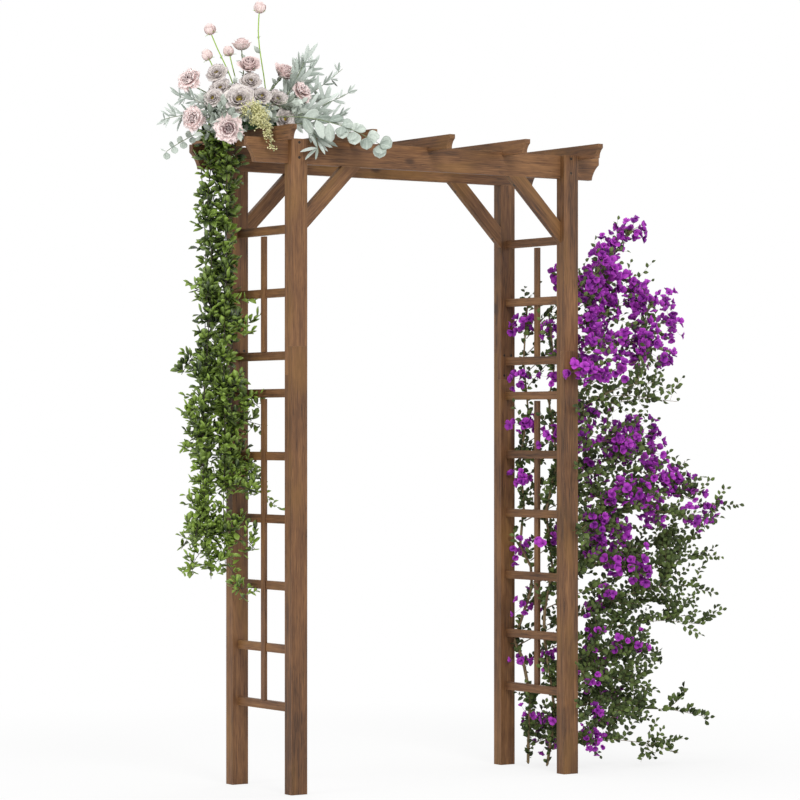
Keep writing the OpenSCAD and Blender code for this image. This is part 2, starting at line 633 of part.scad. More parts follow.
function carnation_stem(f) = flower_stem(f, 0.6, 0.45 * carnation_d);
function rose_stem(f) = flower_stem(f, 0.25, 0.42 * rose_d);
function pale_stem(f) = flower_stem(f, 0.6, 0.3 * pale_d);
function bud_stem(f) = flower_stem(f, 0.05, 0.6 * bud_d);

// Greenery stems: foot on the foam's side, bend and tip.
green_lines = [
    [[90, -42, 50], [180, -60, 190], [246, -10, 268]], [[90, -4, 54], [220, 10, 176], [300, 38, 246]],
    [[90, 0, 50], [260, -20, 130], [392, 0, 232]], [[90, -50, 30], [260, -90, 90], [388, -60, 150]],
    [[90, 20, 26], [220, 54, 110], [330, 92, 200]], [[90, -60, 18], [190, 24 - beam_y1, 60], [146, -48 - beam_y1, -80]],
    [[-90, 24, 50], [-170, 80, 60], [-262, 80, 30]], [[-90, -10, 54], [-150, 40, 110], [-190, 90, 110]],
    [[90, -10, 20], [230, -60, 50], [330, -100, 60]]];
greens = [for (line = green_lines)
    let (out = [line[0][0] > 0 ? 1 : -1, 0, 0],
         foot = [out[0] * (foam_l / 2 + touch), line[0][1], foam_z + line[0][2]])
    [concat([foot], arc_points(foot + 8 * out, line[1], line[2], 5)), flower_stem_r, 0.7]];

// Round-leaved stems: one along the front beam and one off the left end.
round_lines = [[[16, -80, 34], [110, -116 - beam_y1, 60], [318, -154 - beam_y1, -52]],
               [[-60, 40, 20], [-150, 90, -10], [-250, 70, -74]]];
round_stems = [for (line = round_lines)
    let (front = line[0][1] < foam_y, out = [0, front ? -1 : 1, 0],
         foot = [line[0][0], foam_y + (foam_w / 2 + touch) * out[1], foam_z + line[0][2]])
    [concat([foot], arc_points(foot + 8 * out, line[1], line[2], 6)), flower_stem_r, 0.8]];

function paired_leaves(stem, n, t0) =
    [for (i = [0:n - 1], s = [-1, 1])
        let (t = t0 + (0.99 - t0) * i / (n - 1), d = heading(stem, t),
             out = unit(s * away([0.3, 0, 1], d) + 0.5 * d))
        round_leaf(spot(stem, t) + away(out, d) * (thickness(stem, t) + touch), out,
                   away([-0.5, -0.8, 0.2], out), round_leaf_d * (1 - 0.45 * t))];

// The seed spray hangs over the front beam: one stem, with shorter ones off it.
seed_stem = let (foot = [-30, foam_y - foam_w / 2 - touch, foam_z + 30])
    [concat([foot], arc_points(foot + [0, -8, 0], [-72, 44 - beam_y1, 96], [-44, -14 - beam_y1, 20], 5),
            [[-30, -24 - beam_y1, -26], [-14, -32 - beam_y1, -84]]), flower_stem_r, 0.8];
seed_twigs = [for (k = [0:8])
    let (t = 0.42 + 0.055 * k, d = heading(seed_stem, t), out = around(d, 20 + GOLDEN * k),
         foot = spot(seed_stem, t), far = 30 - 2 * k)
    shoot(seed_stem, t, foot + far * 0.6 * out, foot + far * (out + 0.7 * d), 0.9, 0.6, 2)];

// Seeds stand round a stem, each on its point.
function seeds_on(stem, n, t0, turn) =
    [for (i = [0:n - 1])
        let (t = t0 + (0.99 - t0) * (i + 0.5) / n, d = heading(stem, t), out = around(d, turn + GOLDEN * i))
        seed_form(spot(stem, t) + out * (thickness(stem, t) + touch + seed_r), out, d, seed_r)];

// Turns +Z to a direction and moves to a place.
module facing_out(at, dir) {
    translate(at) rotate([0, acos(dir[2]), atan2(dir[1], dir[0])]) children();
}

// A rose: rings of petals round a closed heart, on a small green cup.
module rose_form(d) {
    r = d / 2;
    rotate_extrude($fn = 48) polygon([
        [0, 0], [0.2 * r, 0.04 * r], [0.45 * r, 0.3 * r], [0.85 * r, 0.55 * r], [r, 0.95 * r],
        [0.97 * r, 1.3 * r], [0.86 * r, 1.28 * r], [0.8 * r, 0.85 * r], [0.72 * r, 0.85 * r],
        [0.72 * r, 1.45 * r], [0.62 * r, 1.47 * r], [0.54 * r, 1 * r], [0.46 * r, 1 * r],
        [0.44 * r, 1.55 * r], [0.3 * r, 1.58 * r], [0.24 * r, 1.3 * r], [0.1 * r, 1.5 * r],
        [0, 1.52 * r]]);
}

// Outline of a round flower with scalloped petals.
module petals_2d(n, r) {
    circle(r = 0.8 * r, $fn = 48);
    for (k = [0:n - 1]) rotate(360 * k / n) translate([0.68 * r, 0]) circle(r = 0.32 * r, $fn = 24);
}

// A carnation: three tiers of frilled petals on a long calyx.
module carnation_form(d) {
    r = d / 2;
    rotate_extrude($fn = 32) polygon([
        [0, 0], [0.1 * r, 0], [0.16 * r, 0.5 * r], [0.3 * r, 0.62 * r], [0.3 * r, 1.1 * r], [0, 1.15 * r]]);
    tier_t = 0.08 * r;
    for (tier = [[0.6, 1, 9], [0.78, 0.78, 7], [0.96, 0.56, 6]])
        translate([0, 0, tier[0] * r]) rotate(25 * tier[2]) linear_extrude(tier_t)
            petals_2d(tier[2], tier[1] * r);
}

// A pale bloom: two rings of petals in open bowls round a domed heart.
module pale_form(d) {
    r = d / 2;
    difference() {
        rotate_extrude($fn = 48) polygon([
            [0, 0], [0.2 * r, 0.02 * r], [0.7 * r, 0.16 * r], [r, 0.5 * r], [0.93 * r, 0.54 * r],
            [0.62 * r, 0.28 * r], [0.6 * r, 0.3 * r], [0.7 * r, 0.58 * r], [0.63 * r, 0.62 * r],
            [0.44 * r, 0.32 * r], [0.2 * r, 0.3 * r], [0.14 * r, 0.46 * r], [0, 0.5 * r]]);
        for (k = [0:7]) rotate(45 * k) translate([1.03 * r, 0, 0]) cylinder(r = 0.13 * r, h = r, $fn = 24);
    }
}

// A rose bud: a pointed oval on a flared calyx.
module bud_form(d) {
    r = d / 2;
    rotate_extrude($fn = 32) polygon([
        [0, 0], [0.3 * r, 0.1 * r], [0.75 * r, 0.5 * r], [r, 1.1 * r], [0.9 * r, 1.8 * r],
        [0.55 * r, 2.25 * r], [0.2 * r, 2.3 * r], [0, 2.2 * r]]);
}

module bouquet_foam() {
    color("#3f5a3c") translate(bouquet_at + [-foam_l / 2, foam_y - foam_w / 2, foam_z])
        cube([foam_l, foam_w, foam_h]);
}

// Two bands round the foam and its rafter.
module bouquet_ties() {
    half = foam_l / 2;
    color("#2f3a2c") for (y = [-50, 50])
        translate(bouquet_at + [0, foam_y + y + tie_w / 2, 0]) rotate([90, 0, 0]) linear_extrude(tie_w)
            difference() {
                polygon(tie_outline(touch + tie_t));
                polygon(tie_outline(touch));
            }
}

// Outline round the foam and the rafter below it, held off by a gap.
function tie_outline(gap) =
    let (w = foam_l / 2 + gap, top = foam_z + foam_h + gap, low = -rafter_h - gap, in = rafter_t / 2 + gap)
    [[-w, top], [-w, foam_z - gap / 2], [-in, low], [in, low], [w, foam_z - gap / 2], [w, top]];

module bouquet_stems() {
    color("#7f9a6a") translate(bouquet_at) shells(concat(
        [for (f = carnations) tube(carnation_stem(f), 4)], [for (f = roses) tube(rose_stem(f), 4)],
        [for (f = pale_blooms) tube(pale_stem(f), 4)], [for (f = buds) tube(bud_stem(f), 4)],
        [for (s = greens) tube(s, 4)], [for (s = round_stems) tube(s, 4)], [tube(seed_stem, 4)],
        [for (s = seed_twigs) tube(s, 3)]));
}

module blooms(list, front, drop) {
    translate(bouquet_at) for (f = list)
        facing_out(f[0] - facing(f[0], front) * drop * f[1], facing(f[0], front))
            scale(f[1]) children();
}

module bouquet_carnations() {
    color("#e3b3b4") blooms(carnations, 0.6, 0.45 * carnation_d) carnation_form(carnation_d);
}

module bouquet_roses() {
    color("#d9b7b4") blooms(roses, 0.25, 0.42 * rose_d) rose_form(rose_d);
}

module bouquet_pale_blooms() {
    color("#dcd6d2") blooms(pale_blooms, 0.6, 0.3 * pale_d) pale_form(pale_d);
}

module bouquet_buds() {
    color("#d8b4b2") blooms(buds, 0.05, 0.6 * bud_d) bud_form(bud_d);
}

module seed_spray() {
    color("#b9bd84") translate(bouquet_at) shells(concat(seeds_on(seed_stem, 16, 0.5, 0),
        [for (i = [0:len(seed_twigs) - 1]) each seeds_on(seed_twigs[i], 4, 0.3, 50 * i)]));
}

module round_eucalyptus() {
    color("#a9b8ac") translate(bouquet_at)
        shells(concat(paired_leaves(round_stems[0], 7, 0.45), paired_leaves(round_stems[1], 4, 0.55)));
}

module long_leaves() {
    color("#a7b5aa") translate(bouquet_at) shells([for (i = [0:len(greens) - 1]) each
        [for (k = [0:6])
            let (stem = greens[i], t = 0.3 + 0.69 * (k + 0.5) / 7, d = heading(stem, t),
                 out = around(d, 70 * i + GOLDEN * k), dir = unit(d + 0.8 * out),
                 size = 1.1 - 0.5 * t)
            long_leaf(spot(stem, t) + out * (thickness(stem, t) + touch), dir, away([0, 0, 1], dir),
                      sage_leaf_l * size, sage_leaf_w * size)]]);
}

module garland_stems() {
    color("#4c4a30") translate(garland_at)
        shells(concat([for (s = strands) tube(s, 4)], [for (s = garland_shoots) tube(s, 4)]));
}

module garland_leaves() {
    color("#5d8a2e") translate(garland_at) shells(concat(
        [for (i = [0:3]) each
            leaves_on(strands[i], 68, 0.12, garland_leaf_l, garland_leaf_w, 50 * i, -0.1, garland_at)],
        [for (i = [0:len(garland_shoots) - 1]) each
            leaves_on(garland_shoots[i], 4, 0.2, garland_leaf_l, garland_leaf_w, 31 * i, 0, garland_at)]));
}

module climber_stems() {
    color("#6b5138") shells(concat([for (s = vines) tube(s, 8)], [for (s = canes) tube(s, 3)],
                                   [for (s = twigs) tube(s, 3)]));
}

module climber_leaves() {
    color("#3f5a2a") shells(concat(
        [for (i = [0:len(canes) - 1]) each flowers(i)
            ? leaves_on(canes[i], 3, 0.12, climber_leaf_l, climber_leaf_w, 47 * i)
            : leaves_on(canes[i], 8, 0.2, climber_leaf_l, climber_leaf_w, 47 * i)],
        [for (i = [0:len(twigs) - 1]) each
            leaves_on(twigs[i], flowers(floor(i / 2)) ? 1 : 4, 0.2, climber_leaf_l, climber_leaf_w, 29 * i)],
        [for (i = [0, 1]) each leaves_on(vines[i], 14, 0.04, climber_leaf_l, climber_leaf_w, 90 * i)]));
}

module climber_bracts() {
    color("#8d2a9a") shells(concat(
        [for (i = [0:len(canes) - 1], t = [0.68, 0.98]) if (flowers(i)) each cluster(canes[i], t, 47 * i + 60 * t)],
        [for (i = [0:len(twigs) - 1]) if (flowers(floor(i / 2))) each cluster(twigs[i], 0.85, 53 * i)],
        [for (c = vine_clusters) each cluster(vines[c[0]], at_height(vines[c[0]], c[1]), c[1])]));
}

front_left_post_upper();
front_left_post_lower();
front_right_post_upper();
front_right_post_lower();
back_left_post_upper();
back_left_post_lower();
back_right_post_upper();
back_right_post_lower();
beam(-1);  // front_beam
beam(1);  // back_beam
rafter(0);  // rafter_1
rafter(1);  // rafter_2
rafter(2);  // rafter_3
rafter(3);  // rafter_4
rafter(4);  // rafter_5
brace(-1, -1);  // brace_front_left
brace(1, -1);  // brace_front_right
brace(-1, 1);  // brace_back_left
brace(1, 1);  // brace_back_right
slat(-1, 0);  // left_slat_1
slat(-1, 1);  // left_slat_2
slat(-1, 2);  // left_slat_3
slat(-1, 3);  // left_slat_4
slat(-1, 4);  // left_slat_5
slat(-1, 5);  // left_slat_6
slat(-1, 6);  // left_slat_7
slat(-1, 7);  // left_slat_8
slat(-1, 8);  // left_slat_9
slat(1, 0);  // right_slat_1
slat(1, 1);  // right_slat_2
slat(1, 2);  // right_slat_3
slat(1, 3);  // right_slat_4
slat(1, 4);  // right_slat_5
slat(1, 5);  // right_slat_6
slat(1, 6);  // right_slat_7
slat(1, 7);  // right_slat_8
slat(1, 8);  // right_slat_9
centre_slat(-1, upper_run);  // left_centre_slat_upper
centre_slat(-1, lower_run);  // left_centre_slat_lower
centre_slat(1, upper_run);  // right_centre_slat_upper
centre_slat(1, lower_run);  // right_centre_slat_lower
beam_screws();
splice_screws();
brace_screws();
rafter_screws();
bouquet_foam();
bouquet_ties();
bouquet_stems();
bouquet_roses();
bouquet_carnations();
bouquet_pale_blooms();
bouquet_buds();
seed_spray();
round_eucalyptus();
long_leaves();
garland_stems();
garland_leaves();
climber_stems();
climber_leaves();
climber_bracts();
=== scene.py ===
from math import cos, hypot, pi, radians, sin, sqrt
from random import choice, gauss, random, sample, seed, uniform

import bmesh
import bpy
from mathutils import Matrix, Vector
from mathutils.bvhtree import BVHTree


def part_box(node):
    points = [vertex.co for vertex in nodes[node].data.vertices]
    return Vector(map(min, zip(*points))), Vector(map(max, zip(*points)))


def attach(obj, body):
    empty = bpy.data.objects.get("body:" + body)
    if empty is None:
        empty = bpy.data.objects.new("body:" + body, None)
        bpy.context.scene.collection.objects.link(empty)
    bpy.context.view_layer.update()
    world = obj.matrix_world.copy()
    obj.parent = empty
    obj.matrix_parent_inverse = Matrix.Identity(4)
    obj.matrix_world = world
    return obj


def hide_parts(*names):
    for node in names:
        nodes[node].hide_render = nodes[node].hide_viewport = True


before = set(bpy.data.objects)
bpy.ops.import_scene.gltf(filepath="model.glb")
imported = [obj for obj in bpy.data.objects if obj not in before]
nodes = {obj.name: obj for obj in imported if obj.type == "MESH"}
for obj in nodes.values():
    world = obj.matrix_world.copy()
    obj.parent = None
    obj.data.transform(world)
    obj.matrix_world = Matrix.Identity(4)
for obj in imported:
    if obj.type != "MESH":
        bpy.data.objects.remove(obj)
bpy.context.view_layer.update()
up = Vector((0, 0, 1))
sortWay = Vector((0.31, 0.62, 0.73))        # no two corners of a blade lie level along this
fullTurn = 2 * pi
wideTurn = 6.3      # a little more than a full turn
goldenTurn = radians(137.5)     # leaves and stamens follow each other at this angle


def addObject(name, data):
    item = bpy.data.objects.new(name, data)
    bpy.context.scene.collection.objects.link(item)
    return item


def finishMesh(bm, name):
    mesh = bpy.data.meshes.new(name)
    bm.to_mesh(mesh)
    bm.free()
    return mesh


# The camera stands where the photograph was taken from
cameraSetup = {
    "place": (-5.9853, -8.7851, 1.1779),
    "turn": 34.1806,        # degrees away from a square view of the front
    "lens": 141.08,
    "rise": 0.0389,         # the picture reaches further down than up
}


def addCamera(setup):
    data = bpy.data.cameras.new("photoCamera")
    data.lens = setup["lens"]
    data.sensor_width = 36
    data.shift_y = setup["rise"]
    data.clip_end = 60
    camera = addObject("photoCamera", data)
    camera.location = setup["place"]
    camera.rotation_euler = (pi / 2, 0, -radians(setup["turn"]))
    bpy.context.scene.camera = camera


addCamera(cameraSetup)
bpy.context.scene.view_settings.view_transform = "Standard"
print("camera in place")


# A socket that takes part in plain expressions, each one adding its own nodes
class Wire:
    def __init__(self, tree, socket=None):
        self.tree, self.socket = tree, socket

    def make(self, kind, inputs=None, output=0, stops=(), **settings):
        node = self.tree.nodes.new("ShaderNode" + kind)
        for key, value in settings.items():
            setattr(node, key, value)
        if stops:
            ramp = node.color_ramp.elements
            while len(ramp) < len(stops):
                ramp.new(0.5)
            for element, (at, colour) in zip(ramp, stops):
                element.position = at
                element.color = colour
        for key, value in (inputs or {}).items():
            if isinstance(value, Wire):
                self.tree.links.new(value.socket, node.inputs[key])
            else:
                node.inputs[key].default_value = value
        return Wire(self.tree, node.outputs[output])

    def close(self, kind="ShaderNodeOutputMaterial"):       # this shader is the tree's last one
        output = self.tree.nodes.new(kind)
        self.tree.links.new(self.socket, output.inputs["Surface"])

    def maths(self, operation, other=0.0):
        return self.make("Math", {0: self, 1: other}, operation=operation)

    def __add__(self, other):
        return self.maths("ADD", other)

    def __sub__(self, other):
        return self.maths("SUBTRACT", other)

    def __mul__(self, other):
        return self.maths("MULTIPLY", other)

    def __pow__(self, other):
        return self.maths("POWER", other)

    def wave(self):
        return self.maths("SINE")

    def size(self):
        return self.maths("ABSOLUTE")

    def most(self, other):
        return self.maths("MAXIMUM", other)

    def part(self, low, high, toLow=0.0, toHigh=1.0):   # a smooth step between two values
        return self.make("MapRange", {0: self, 1: low, 2: high, 3: toLow, 4: toHigh},
                         interpolation_type="SMOOTHSTEP")

    def mix(self, first, second):       # two colours, with this value as the share
        return self.make("Mix", {0: self, 6: first, 7: second}, 2, data_type="RGBA")

    def noise(self, scale, detail=2.0, stretch=(1, 1, 1)):
        place = self.make("Mapping", {"Vector": self, "Scale": stretch})
        return self.make("TexNoise", {"Vector": place, "Scale": scale, "Detail": detail})

    def axis(self, index):
        return self.make("SeparateXYZ", {0: self}, index)

    def bump(self, strength, distance, **others):
        return self.make("Bump", {"Height": self, "Strength": strength, "Distance": distance, **others})


def rgb(red, green, blue):      # a colour as it is read off a screen, from 0 to 255
    def linear(value):
        value /= 255
        return value / 12.92 if value <= 0.04045 else ((value + 0.055) / 1.055) ** 2.4
    return (linear(red), linear(green), linear(blue), 1.0)


def newMaterial(name):      # an empty material, and the object's own coordinates in it
    material = bpy.data.materials.new(name)
    material.use_nodes = True
    material.node_tree.nodes.clear()
    return material, Wire(material.node_tree).make("TexCoord", output=3)


def finishMaterial(material, colour, roughness, sheen=0.5, bump=None, metallic=0.0):
    inputs = {"Base Color": colour, "Roughness": roughness, "Specular IOR Level": sheen, "Metallic": metallic}
    if bump:
        inputs["Normal"] = bump
    Wire(material.node_tree).make("BsdfPrincipled", inputs).close()
    return material


# Light, floor and background
lightSetup = {
    "lamps": {      # place, size and power
        "key": ((-1.6, -6.5, 5.2), 2.6, 270),
        "left": ((-6.0, -0.5, 3.2), 2.6, 120),
        "right": ((5.5, -2.0, 3.4), 3.0, 60),
        "top": ((0.5, 1.0, 6.0), 3.0, 110)},
    "aim": (0.0, 0.0, 1.2),
    "skyLevel": 0.46,
    "floorRadius": 9.0,
    "floorColour": (0.86, 0.86, 0.855, 1.0),
    "shadowShare": 0.18,
    "shadowReach": (1.2, 3.2),      # metres from the middle where the shadow starts to fade and is gone
}


def addLights(setup):
    for name, (place, size, power) in setup["lamps"].items():
        data = bpy.data.lights.new(name, "AREA")
        data.size = size
        data.energy = power
        light = addObject(name, data)
        light.location = place
        aim = Vector(setup["aim"]) - light.location
        light.rotation_euler = aim.to_track_quat("-Z", "Y").to_euler()


def addWorld(setup):
    world = bpy.data.worlds.new("paleRoom")
    bpy.context.scene.world = world
    world.use_nodes = True
    world.node_tree.nodes.clear()
    path = Wire(world.node_tree).make("LightPath")
    rays = path.socket.node.outputs
    for ray in ("Is Glossy Ray", "Is Transmission Ray"):
        path = path.most(Wire(path.tree, rays[ray]))
    level = path * (1 - setup["skyLevel"]) + setup["skyLevel"]
    level.make("Background", {"Color": (1, 1, 1, 1), "Strength": level}).close("ShaderNodeOutputWorld")


def addFloor(setup):
    bm = bmesh.new()
    bmesh.ops.create_circle(bm, cap_ends=True, segments=96, radius=setup["floorRadius"])
    mesh = finishMesh(bm, "studioFloor")
    floor = addObject("studioFloor", mesh)
    floor.location.z = -0.0005
    material, place = newMaterial("paleFloor")
    distance = place.make("VectorMath", {0: place}, 1, operation="LENGTH")
    # near the arch the floor keeps its shadow, and further out it melts into the white behind
    fade = distance.part(*setup["shadowReach"], 1 - setup["shadowShare"], 1.0)
    matt = place.make("BsdfDiffuse", {"Color": setup["floorColour"]})
    white = place.make("Emission", {"Color": (1, 1, 1, 1), "Strength": 1.0})
    place.make("MixShader", {0: fade * place.make("LightPath"), 1: matt, 2: white}).close()
    mesh.materials.append(material)


addLights(lightSetup)
addWorld(lightSetup)
addFloor(lightSetup)
print("light and floor in place")


# Stained softwood. The grain runs along local Z once the pattern is turned.
woodSetup = {
    "dark": rgb(70, 46, 28),
    "middle": rgb(110, 75, 47),
    "light": rgb(142, 102, 65),
    "knot": rgb(54, 34, 22),
    # painted highlight colour for the edges
    "edgeHighlight": rgb(156, 122, 88),
    "yellow": rgb(136, 99, 50),
    "layersPerMetre": 150,
    "roughness": 0.50,
    "edgeRadius": 0.0022,
    "tones": (-0.07, 0.03, -0.02, 0.06),    # neighbours are darker or lighter by these
    "turns": {"up": (0, 0, 0), "across": (0, 90, 0), "deep": (90, 0, 0), "leanLeft": (0, 45, 0),
              "leanRight": (0, -45, 0)},
}


def dress(name, material):
    nodes[name].data.materials.clear()
    nodes[name].data.materials.append(material)


def woodMaterial(name, grain, shift, tone, setup):
    material, place = newMaterial(name)
    turn = [radians(angle) for angle in setup["turns"][grain]]
    wood = place.make("Mapping", {"Vector": place, "Rotation": turn, "Location": shift})
    # knots are seldom, and the layers bend round them
    knotSpace = place.make("Mapping", {"Vector": wood, "Scale": (5.5, 5.5, 2.6)})
    knot = place.make("TexVoronoi", {"Vector": knotSpace, "Scale": 1.0, "Randomness": 0.9})
    nearKnot = knot.part(0.06, 0.30, 1.0, 0.0)
    inKnot = knot.part(0.035, 0.085, 1.0, 0.0)
    wander = wood.noise(3.2, 2.0, (1, 1, 0.22))
    ripple = wood.noise(26, 3.0, (1, 1, 0.05))
    across = wood.axis(0) * 0.86 + wood.axis(1) * 0.51
    layers = (across + wander * 0.055 + ripple * 0.008 + nearKnot * 0.012) * setup["layersPerMetre"]
    ring = (layers * fullTurn).wave() * 0.5 + 0.5
    late = ring ** 3.0
    fibre = wood.noise(330, 3.0, (1, 1, 0.06))
    blotch = wood.noise(9.0, 3.0, (1, 1, 0.35))
    streak = wood.noise(75, 3.0, (1, 1, 0.045))
    fleck = wood.noise(150, 2.0, (1, 1, 0.16)).part(0.60, 0.74)
    shade = ((blotch - 0.5) * 1.1 + (streak - 0.5) * 1.0 + (fibre - 0.5) * 1.1 - late * 0.10 - fleck * 0.22
             + 0.53 + tone)
    colour = shade.make("ValToRGB", {0: shade}, stops=(
        (0.12, setup["dark"]), (0.50, setup["middle"]), (0.92, setup["light"])))
    warm = wood.noise(14, 2.0, (1, 1, 0.25)).part(0.48, 0.72)
    colour = (warm * 0.45).mix(colour, setup["yellow"])
    colour = (inKnot * 0.8).mix(colour, setup["knot"])
    # painted highlight: the edges are drawn in a lighter colour, as where light catches them
    rounded = place.make("Bevel", {"Radius": setup["edgeRadius"]}, samples=4)
    flat = place.make("NewGeometry", output=1)
    edge = place.make("VectorMath", {0: rounded, 1: flat}, 1, operation="DOT_PRODUCT")
    colour = (edge.part(0.90, 0.995, 1.0, 0.0) * 0.45).mix(colour, setup["edgeHighlight"])
    height = fibre * 0.5 + streak * 0.35 - late * 0.25 - inKnot * 0.4
    rough = fibre * 0.16 + (setup["roughness"] - 0.06) + late * 0.06
    return finishMaterial(material, colour, rough, 0.38, height.bump(0.35, 0.0006, Normal=rounded))


def dressWood(setup):
    grains = {"post": "up", "centre": "up", "beam": "across", "rafter": "deep", "slat": "deep"}
    made = {}
    for count, name in enumerate(sorted(nodes)):
        words = name.split("_")
        grain = next((grains[word] for word in grains if word in words), None)
        if "brace" in words:
            grain = "leanRight" if "left" in words else "leanLeft"
        if grain is None or "screws" in words:
            continue
        variant = count % len(setup["tones"])
        key = (grain, variant)
        if key not in made:
            shift = (0.37 * variant, 0.61 * variant, 0.83 * variant)
            made[key] = woodMaterial("stainedWood_%s_%d" % key, grain, shift, setup["tones"][variant], setup)
        dress(name, made[key])


dressWood(woodSetup)
print("wood dressed")


# Small hard parts: screws, ties and foam
hardSetup = {
    "screwColours": (rgb(46, 40, 36), rgb(84, 74, 64)),
    "tieColours": (rgb(40, 52, 36), rgb(66, 80, 58)),
    "foamColours": (rgb(62, 92, 58), rgb(34, 56, 34)),
}


def scuffedMaterial(name, colours, grain, low, roughness, metallic):
    material, place = newMaterial(name)
    scuff = place.noise(*grain)
    colour = scuff.part(low, low + 0.4).mix(*colours)
    return finishMaterial(material, colour, scuff * 0.3 + roughness, metallic=metallic)


def foamMaterial(colours):
    material, place = newMaterial("floralFoam")
    pores = place.make("TexVoronoi", {"Vector": place, "Scale": 900.0})
    return finishMaterial(material, (pores * 0.6).mix(*colours), 0.95, bump=pores.bump(0.5, 0.0008))


def dressHardParts(setup):
    screw = scuffedMaterial("darkScrew", setup["screwColours"], (900, 2.0), 0.35, 0.3, 0.8)
    for name in ("beam_screws", "splice_screws", "brace_screws", "rafter_screws"):
        dress(name, screw)
    dress("bouquet_foam", foamMaterial(setup["foamColours"]))
    dress("bouquet_ties", scuffedMaterial("tiePlastic", setup["tieColours"], (300, 3.0), 0.4, 0.25, 0.0))


dressHardParts(hardSetup)
print("screws, ties and foam dressed")


# Where the plants' solids stand: each one's foot on its stem, its middle and its reach
def solidOf(name, joined=True):
    bm = bmesh.new()
    bm.from_mesh(nodes[name].data)
    if joined:
        bmesh.ops.remove_doubles(bm, verts=bm.verts, dist=0.00001)
    return bm


def islandsOf(bm):
    seen, groups = set(), []
    for start in bm.verts:
        if start in seen:
            continue
        seen.add(start)
        group, waiting = [], [start]
        while waiting:
            vert = waiting.pop()
            group.append(vert)
            for line in vert.link_edges:
                other = line.other_vert(vert)
                if other not in seen:
                    seen.add(other)
                    waiting.append(other)
        groups.append(group)
    return groups


def solidIslands(name):
    bm = solidOf(name)
    groups = [[vert.co.copy() for vert in group] for group in islandsOf(bm)]
    bm.free()
    return groups


def surfaceTree(name):
    bm = solidOf(name, False)
    tree = BVHTree.FromBMesh(bm)
    bm.free()
    return tree


def anchorsOf(name, stems, ends=False):
    found = []
    for group in solidIslands(name):
        middle = sum(group, Vector()) / len(group)
        near = group
        if ends:        # a leaf's foot is one of its two ends
            far = max(group, key=lambda point: (point - middle).length)
            near = [far, max(group, key=lambda point: (point - far).length)]
        foot = min(near, key=lambda point: stems.find_nearest(point)[3])
        tip = max(group, key=lambda point: (point - foot).length)
        along = (middle - foot).normalized()
        side = max((point - middle - along * (point - middle).dot(along)).length for point in group)
        found.append({"foot": foot, "middle": middle, "tip": tip, "along": along, "side": side})
    found.sort(key=lambda one: (round(one["foot"].z, 5), round(one["foot"].x, 5), round(one["foot"].y, 5)))
    return found


# The timbers' own boxes, so that leaves and flowers keep out of them
timberBoxes = [[Vector(corner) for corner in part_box(name)] for name in nodes
               if name.split("_")[-1] in ("upper", "lower", "beam") or "slat" in name or "rafter_" in name]
lowestLeaf = 0.012


def isFree(point, margin):
    return point.z >= lowestLeaf and not any(
        all(low[k] - margin < point[k] < high[k] + margin for k in range(3)) for low, high in timberBoxes)


# Growing shapes: every leaf or petal starts from a grid that is bent into its form
def plantMesh():
    bm = bmesh.new()
    bm.loops.layers.uv.new("UVMap")
    bm.verts.layers.float.new("tone")
    return bm


def bladeMesh(shape, thick):
    bm = plantMesh()
    bmesh.ops.create_grid(bm, x_segments=shape["across"], y_segments=shape["along"], size=0.5,
                          calc_uvs=True)
    for vert in bm.verts:
        side, far = vert.co.x * 2, vert.co.y + 0.5      # -1 to 1 across, and 0 to 1 along
        vert.co = shape["form"](side, far)
    bmesh.ops.remove_doubles(bm, verts=bm.verts, dist=0.0004 * shape.get("scale", 1.0))
    # the back lies a little way behind the front
    back = bmesh.ops.extrude_face_region(bm, geom=bm.faces[:], use_keep_orig=True)
    bm.normal_update()
    for item in back["geom"]:
        if isinstance(item, bmesh.types.BMVert):
            item.co -= item.normal * thick
    bmesh.ops.recalc_face_normals(bm, faces=bm.faces)
    # extruded corners and faces come in any order, so they are sorted by their place
    bm.verts.sort(key=lambda vert: vert.co.dot(sortWay))
    bm.faces.sort(key=lambda face: face.calc_center_median().dot(sortWay))
    return finishMesh(bm, "blade")


def addCopy(bm, mesh, place, tone):
    points = [0.0] * (len(mesh.vertices) * 3)
    mesh.vertices.foreach_get("co", points)
    mesh.transform(place)
    mesh.attributes["tone"].data.foreach_set("value", [tone] * len(mesh.vertices))
    bm.from_mesh(mesh)
    mesh.vertices.foreach_set("co", points)


def addPiece(name, bm, material, replaced=None):
    for face in bm.faces:
        face.smooth = True
    mesh = finishMesh(bm, name)
    mesh.materials.append(material)
    piece = addObject(name, mesh)
    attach(piece, "root")
    if replaced:
        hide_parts(replaced)
    print("%s: %d faces" % (name, len(mesh.polygons)))


def standing(foot, along, spin, size, axis="Y"):        # a local axis runs along a direction
    turn = along.to_track_quat(axis, "Z" if axis == "Y" else "Y").to_matrix().to_4x4()
    return Matrix.Translation(foot) @ turn @ Matrix.Rotation(spin, 4, axis) @ Matrix.Scale(size, 4)


def laidOut(foot, along, face, size):       # local Y runs along a direction, and Z looks towards a face
    across = along.cross(face).normalized()
    turn = Matrix((across, along, across.cross(along))).transposed().to_4x4()
    return Matrix.Translation(foot) @ turn @ Matrix.Scale(size, 4)


def anyWay(reach=1.0):
    return Vector((gauss(0, reach), gauss(0, reach), gauss(0, reach)))


def spreading(along, spin, lean):           # a direction that leans away from another one
    side = along.orthogonal().normalized()
    side.rotate(Matrix.Rotation(spin, 3, along))
    return (along * cos(lean) + side * sin(lean)).normalized()


def toneOf(place):
    return place.make("Attribute", output=2, attribute_name="tone")


def bladeInputs(place):     # a blade's own tone, and how far a spot lies from its midrib and from its foot
    uv = place.make("TexCoord", output=2)
    return toneOf(place), (uv.axis(0) - 0.5).size(), uv.axis(1)


